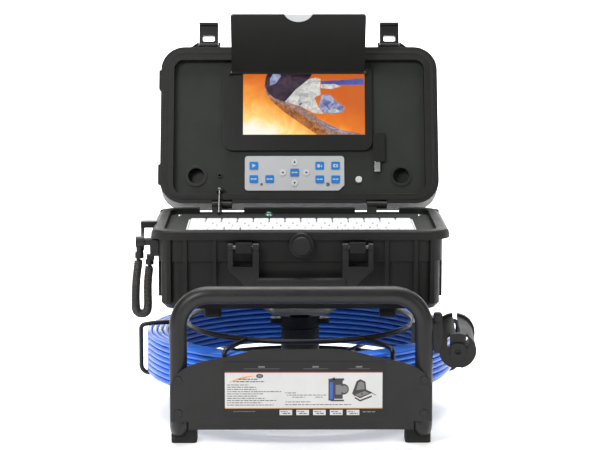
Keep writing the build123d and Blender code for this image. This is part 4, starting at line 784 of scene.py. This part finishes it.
def label_artwork():
    """Pale field with bars for text, two generic drawings, plain marks and boxes below."""
    builder, source = bmesh.new(), random.Random(11)

    def field(outline, material):
        """One plain field printed straight on the label."""
        flat(builder, LABEL, outline, FIELD_LAYER, material)

    field(box(FIELD_LEFT, FIELD_BOTTOM, FIELD_RIGHT, FIELD_TOP), WHITE)
    field(box(FIELD_LEFT, FIELD_TOP, FIELD_RIGHT, FIELD_TOP + RED_BAND), RED)
    field(box(FIELD_LEFT, FIELD_BOTTOM - GOLD_BAND, FIELD_RIGHT, FIELD_BOTTOM), GOLD)
    for centre, reach in ((-44.3, 20), (16.1, 14), (64.7, 12)):
        field(box(centre - 3.6, 90.8, centre + 3.6, 92.4), GREY)
        field(box(centre - reach, 89.2, centre + reach, 89.5), GREY)
    swoosh = []
    for i in range(SWOOSH_STEPS + 1):
        share = i / SWOOSH_STEPS
        swoosh.append((-81 + 29 * share, 74 + 7.2 * math.sin(1.45 * share)))
    flat(builder, LABEL, stroke(swoosh, 1.5), SWOOSH_LAYER, ORANGE)
    flat(builder, LABEL, disc(BADGE_X, BADGE_Z, 4.0, squash=0.62), WORD_LAYER, INK)
    flat(builder, LABEL, disc(BADGE_X, BADGE_Z, 2.6, squash=0.6), BADGE_LAYER, GREY)
    words(builder, source, -70, -48, 77.0, 1.1, INK)
    words(builder, source, -76, -41, 74.2, 1.1, INK)
    for row, end in enumerate(PARAGRAPH_ENDS):
        words(builder, source, PARAGRAPH_LEFT, end, PARAGRAPH_TOP - LINE_SPACING * row, 0.8, INK)
    for left, right, height in SHORT_LINES:
        words(builder, source, left, right, height, 0.75, INK)
    for outline, layer, ink in REEL_DRAWING + CASE_DRAWING:
        flat(builder, LABEL, outline, layer, ink)
    for x in BOXES_X:
        field(box(x, BOX_BOTTOM, x + BOX_WIDTH, BOX_TOP), WHITE)
        words(builder, source, x + 1.2, x + 9, 40.0, 0.9, RED)
        words(builder, source, x + 3.5, x + 12.6, 37.9, 1.0, INK)
    words(builder, source, -75.8, -51, 40.3, 0.7, GREY)
    words(builder, source, 69, 83, 39.6, 1.3, GREY)
    piece("label_artwork", builder, STAND, LABEL_INKS, solid=False)


label_artwork()


# ---------------------------------------------------------------- keyboard
# a key cap's rings from its skirt to its dish, in millimetres: inset, drop below the top, corner radius
CAP_RINGS = (
    (0.0, 3.2, 1.8), (0.12, 1.2, 1.8), (0.3, 0.55, 2.0), (0.62, 0.16, 2.0), (1.15, 0.0, 1.9),
    (2.2, 0.12, 1.6), (4.0, 0.3, 1.2), (6.0, 0.38, 0.9),
)
MARK_DROP = 0.26 * MM  # the printed marks lie just over the dish


def keycaps(row):
    """Round-edged, dished caps in place of a row's plain blocks, each with one or two small printed marks."""
    builder, source = bmesh.new(), random.Random(row)
    node = f"keys_row_{row}"
    for low, high in islands(node):
        centre_x, centre_y = (low.x + high.x) / 2, (low.y + high.y) / 2
        rings = []
        for inset, drop, radius in CAP_RINGS:
            width = high.x - low.x - 2 * inset * MM
            depth = high.y - low.y - 2 * inset * MM
            outline = rounded_outline(width, depth, radius * MM)
            rings.append([Vector((centre_x + x, centre_y + y, high.z - drop * MM)) for x, y in outline])
        loft(builder, rings)
        x = centre_x / MM + source.uniform(-3.4, -1.6)
        y = centre_y / MM + source.uniform(0.2, 2.6)
        place = Matrix.Translation((0, 0, high.z - MARK_DROP))
        flat(builder, place, box(x, y, x + source.uniform(1.4, 2.2), y + 2.0), 0.0, 1)
        if source.random() < 0.6:
            flat(builder, place, box(x + 4.2, y - 3.6, x + 5.6, y - 2.2), 0.0, 1)
    materials = ["white_plastic", "print_grey"]
    piece(f"keycaps_{row}", builder, node, materials, replaces=(node,), sharp=50)


for row_number in range(1, 7):
    keycaps(row_number)


# ---------------------------------------------------------------- keypad symbols and small lamps
# the keys' centres on the panel, with the way each arrow key points
SQUARE_KEYS = (
    (-57.3, 52.8), (-57.3, 35.4), (-37.4, 35.4), (-6.0, 43.8),
    (25.5, 52.8), (45.5, 52.8), (25.5, 35.0), (45.5, 35.0),
)
ARROW_KEYS = ((-6.0, 57.2, 90), (-20.8, 43.8, 180), (8.8, 43.8, 0), (-6.0, 30.4, 270))
PLAY_KEY, VIDEO_KEY, PHOTO_KEY = 0, 4, 5
SYMBOL_FACE = KEY_FACE + 0.04
LAMPS = ((-47.5, 28.7, 1.7), (35.6, 28.7, 2.5))
# a lamp's outline from its ring to its dome: share of its radius, height in millimetres
LAMP_PROFILE = (
    (1.0, -0.2), (1.0, 0.25), (0.9, 0.4), (0.74, 0.4), (0.7, 0.3), (0.55, 0.55), (0.3, 0.72), (0.04, 0.76),
)


def arrow_symbols():
    """A triangle on each arrow key."""
    builder = bmesh.new()
    for x, y, heading in ARROW_KEYS:
        corners = []
        for turn, reach in ((0, 2.3), (128, 1.9), (232, 1.9)):
            angle = math.radians(heading + turn)
            corners.append((x + reach * math.cos(angle), y + reach * math.sin(angle)))
        flat(builder, LID, corners, SYMBOL_FACE)
    piece("arrow_marks", builder, "arrow_keys", ["print_ink"], solid=False)


def square_symbols():
    """Plain white marks on the square keys."""
    builder = bmesh.new()
    for index, (x, y) in enumerate(SQUARE_KEYS):
        if index == PLAY_KEY:
            outlines = [[(x - 1.8, y - 2.4), (x + 2.6, y), (x - 1.8, y + 2.4)]]
        elif index == VIDEO_KEY:
            lens = [(x + 1, y - 1), (x + 3, y - 2.2), (x + 3, y + 1.4)]
            outlines = [box(x - 3, y - 2.4, x + 0.4, y + 1.6), lens]
        elif index == PHOTO_KEY:
            outlines = [box(x - 3, y - 2.2, x + 3, y + 1.8)]
        else:
            outlines = [box(x - 3.6, y - 0.8, x - 0.4, y + 0.8), box(x + 0.2, y - 0.8, x + 3.6, y + 0.8)]
        for outline in outlines:
            flat(builder, LID, outline, SYMBOL_FACE)
        if index == PHOTO_KEY:
            flat(builder, LID, disc(x, y - 0.2, 1.2), SYMBOL_FACE + 0.03, 1)
    piece("square_marks", builder, "square_keys", ["print_white", "blue_keys"], solid=False)


def small_lamps():
    """Two indicator lamps on the keypad film, each a shallow dome in a ring."""
    builder = bmesh.new()
    for x, y, radius in LAMPS:
        place = LID @ Matrix.Translation(mm(x, y, FILM_FACE))
        lathe(builder, [(radius * share, height) for share, height in LAMP_PROFILE], place, segments=28)
    piece("keypad_lamps", builder, "lid", ["dark_steel"])


arrow_symbols()
square_symbols()
small_lamps()


# ---------------------------------------------------------------- floor and light
FLOOR_HALF_WIDTH, FLOOR_FRONT, FLOOR_BACK = 5.0, -4.0, 1.6
COVE_R, COVE_STEPS, BACKDROP_TOP = 1.2, 12, 5.0
FLOOR_DROP = 0.0002  # the floor lies just under the feet
# lamps: name, place, the point it shines at, size and energy
STUDIO_LAMPS = (
    ("key", (-1.3, -2.0, 1.7), (0, 0, 0.25), 1.1, 44),
    ("fill", (1.9, -1.7, 1.1), (0, 0, 0.2), 1.4, 10),
    ("top", (0.0, 0.3, 2.4), (0, 0, 0.2), 1.7, 42),
    ("back_wash", (0.0, 1.0, 2.4), (0, 2.8, 0.9), 2.4, 120),
)
LAMP_ASPECT = 0.7
ROOM_LIGHT = 0.13


def pale_floor_material():
    """Nearly white, very slightly cloudy, and a little bright in itself."""
    nodes = Nodes("pale_floor")
    cloudy = nodes.blend(nodes.noise(3, 3), (0.86, 0.86, 0.86), (0.88, 0.88, 0.88))
    nodes.join(cloudy, nodes.shader.inputs["Base Color"])
    nodes.join(nodes.clouds(12, 3, 0.6, 0.7), nodes.shader.inputs["Roughness"])
    nodes.shader.inputs["Emission Color"].default_value = (1, 1, 1, 1)
    nodes.shader.inputs["Emission Strength"].default_value = 0.4
    return nodes.material


def studio_floor():
    """Floor that curves up into a backdrop."""
    builder = bmesh.new()
    profile = [(FLOOR_FRONT, 0.0), (FLOOR_BACK, 0.0)]
    for step in range(1, COVE_STEPS + 1):
        angle = math.pi / 2 * step / COVE_STEPS
        profile.append((FLOOR_BACK + COVE_R * math.sin(angle), COVE_R * (1 - math.cos(angle))))
    profile.append((FLOOR_BACK + COVE_R, BACKDROP_TOP))
    sides = (-FLOOR_HALF_WIDTH, FLOOR_HALF_WIDTH)
    edges = []
    for y, z in profile:
        edges.append([builder.verts.new((x, y, z - FLOOR_DROP)) for x in sides])
    for row, following in zip(edges, edges[1:]):
        builder.faces.new((row[0], row[1], following[1], following[0]))
    mesh = bpy.data.meshes.new("floor")
    builder.to_mesh(mesh)
    builder.free()
    mesh.shade_smooth()
    mesh.materials.append(pale_floor_material())
    link(bpy.data.objects.new("floor", mesh))


def studio_light():
    """Soft rectangular lamps in a faintly bright room."""
    for name, place, aim, size, energy in STUDIO_LAMPS:
        lamp = bpy.data.lights.new(name, "AREA")
        lamp.energy = energy
        lamp.shape = "RECTANGLE"
        lamp.size = size
        lamp.size_y = size * LAMP_ASPECT
        holder = link(bpy.data.objects.new(name, lamp))
        holder.location = place
        holder.rotation_euler = (Vector(aim) - Vector(place)).to_track_quat("-Z", "Y").to_euler()
    world = bpy.data.worlds.new("room")
    world.use_nodes = True
    background = world.node_tree.nodes["Background"]
    background.inputs["Color"].default_value = (1, 1, 1, 1)
    background.inputs["Strength"].default_value = ROOM_LIGHT
    bpy.context.scene.world = world
    bpy.context.scene.view_settings.view_transform = "Standard"


studio_floor()
studio_light()
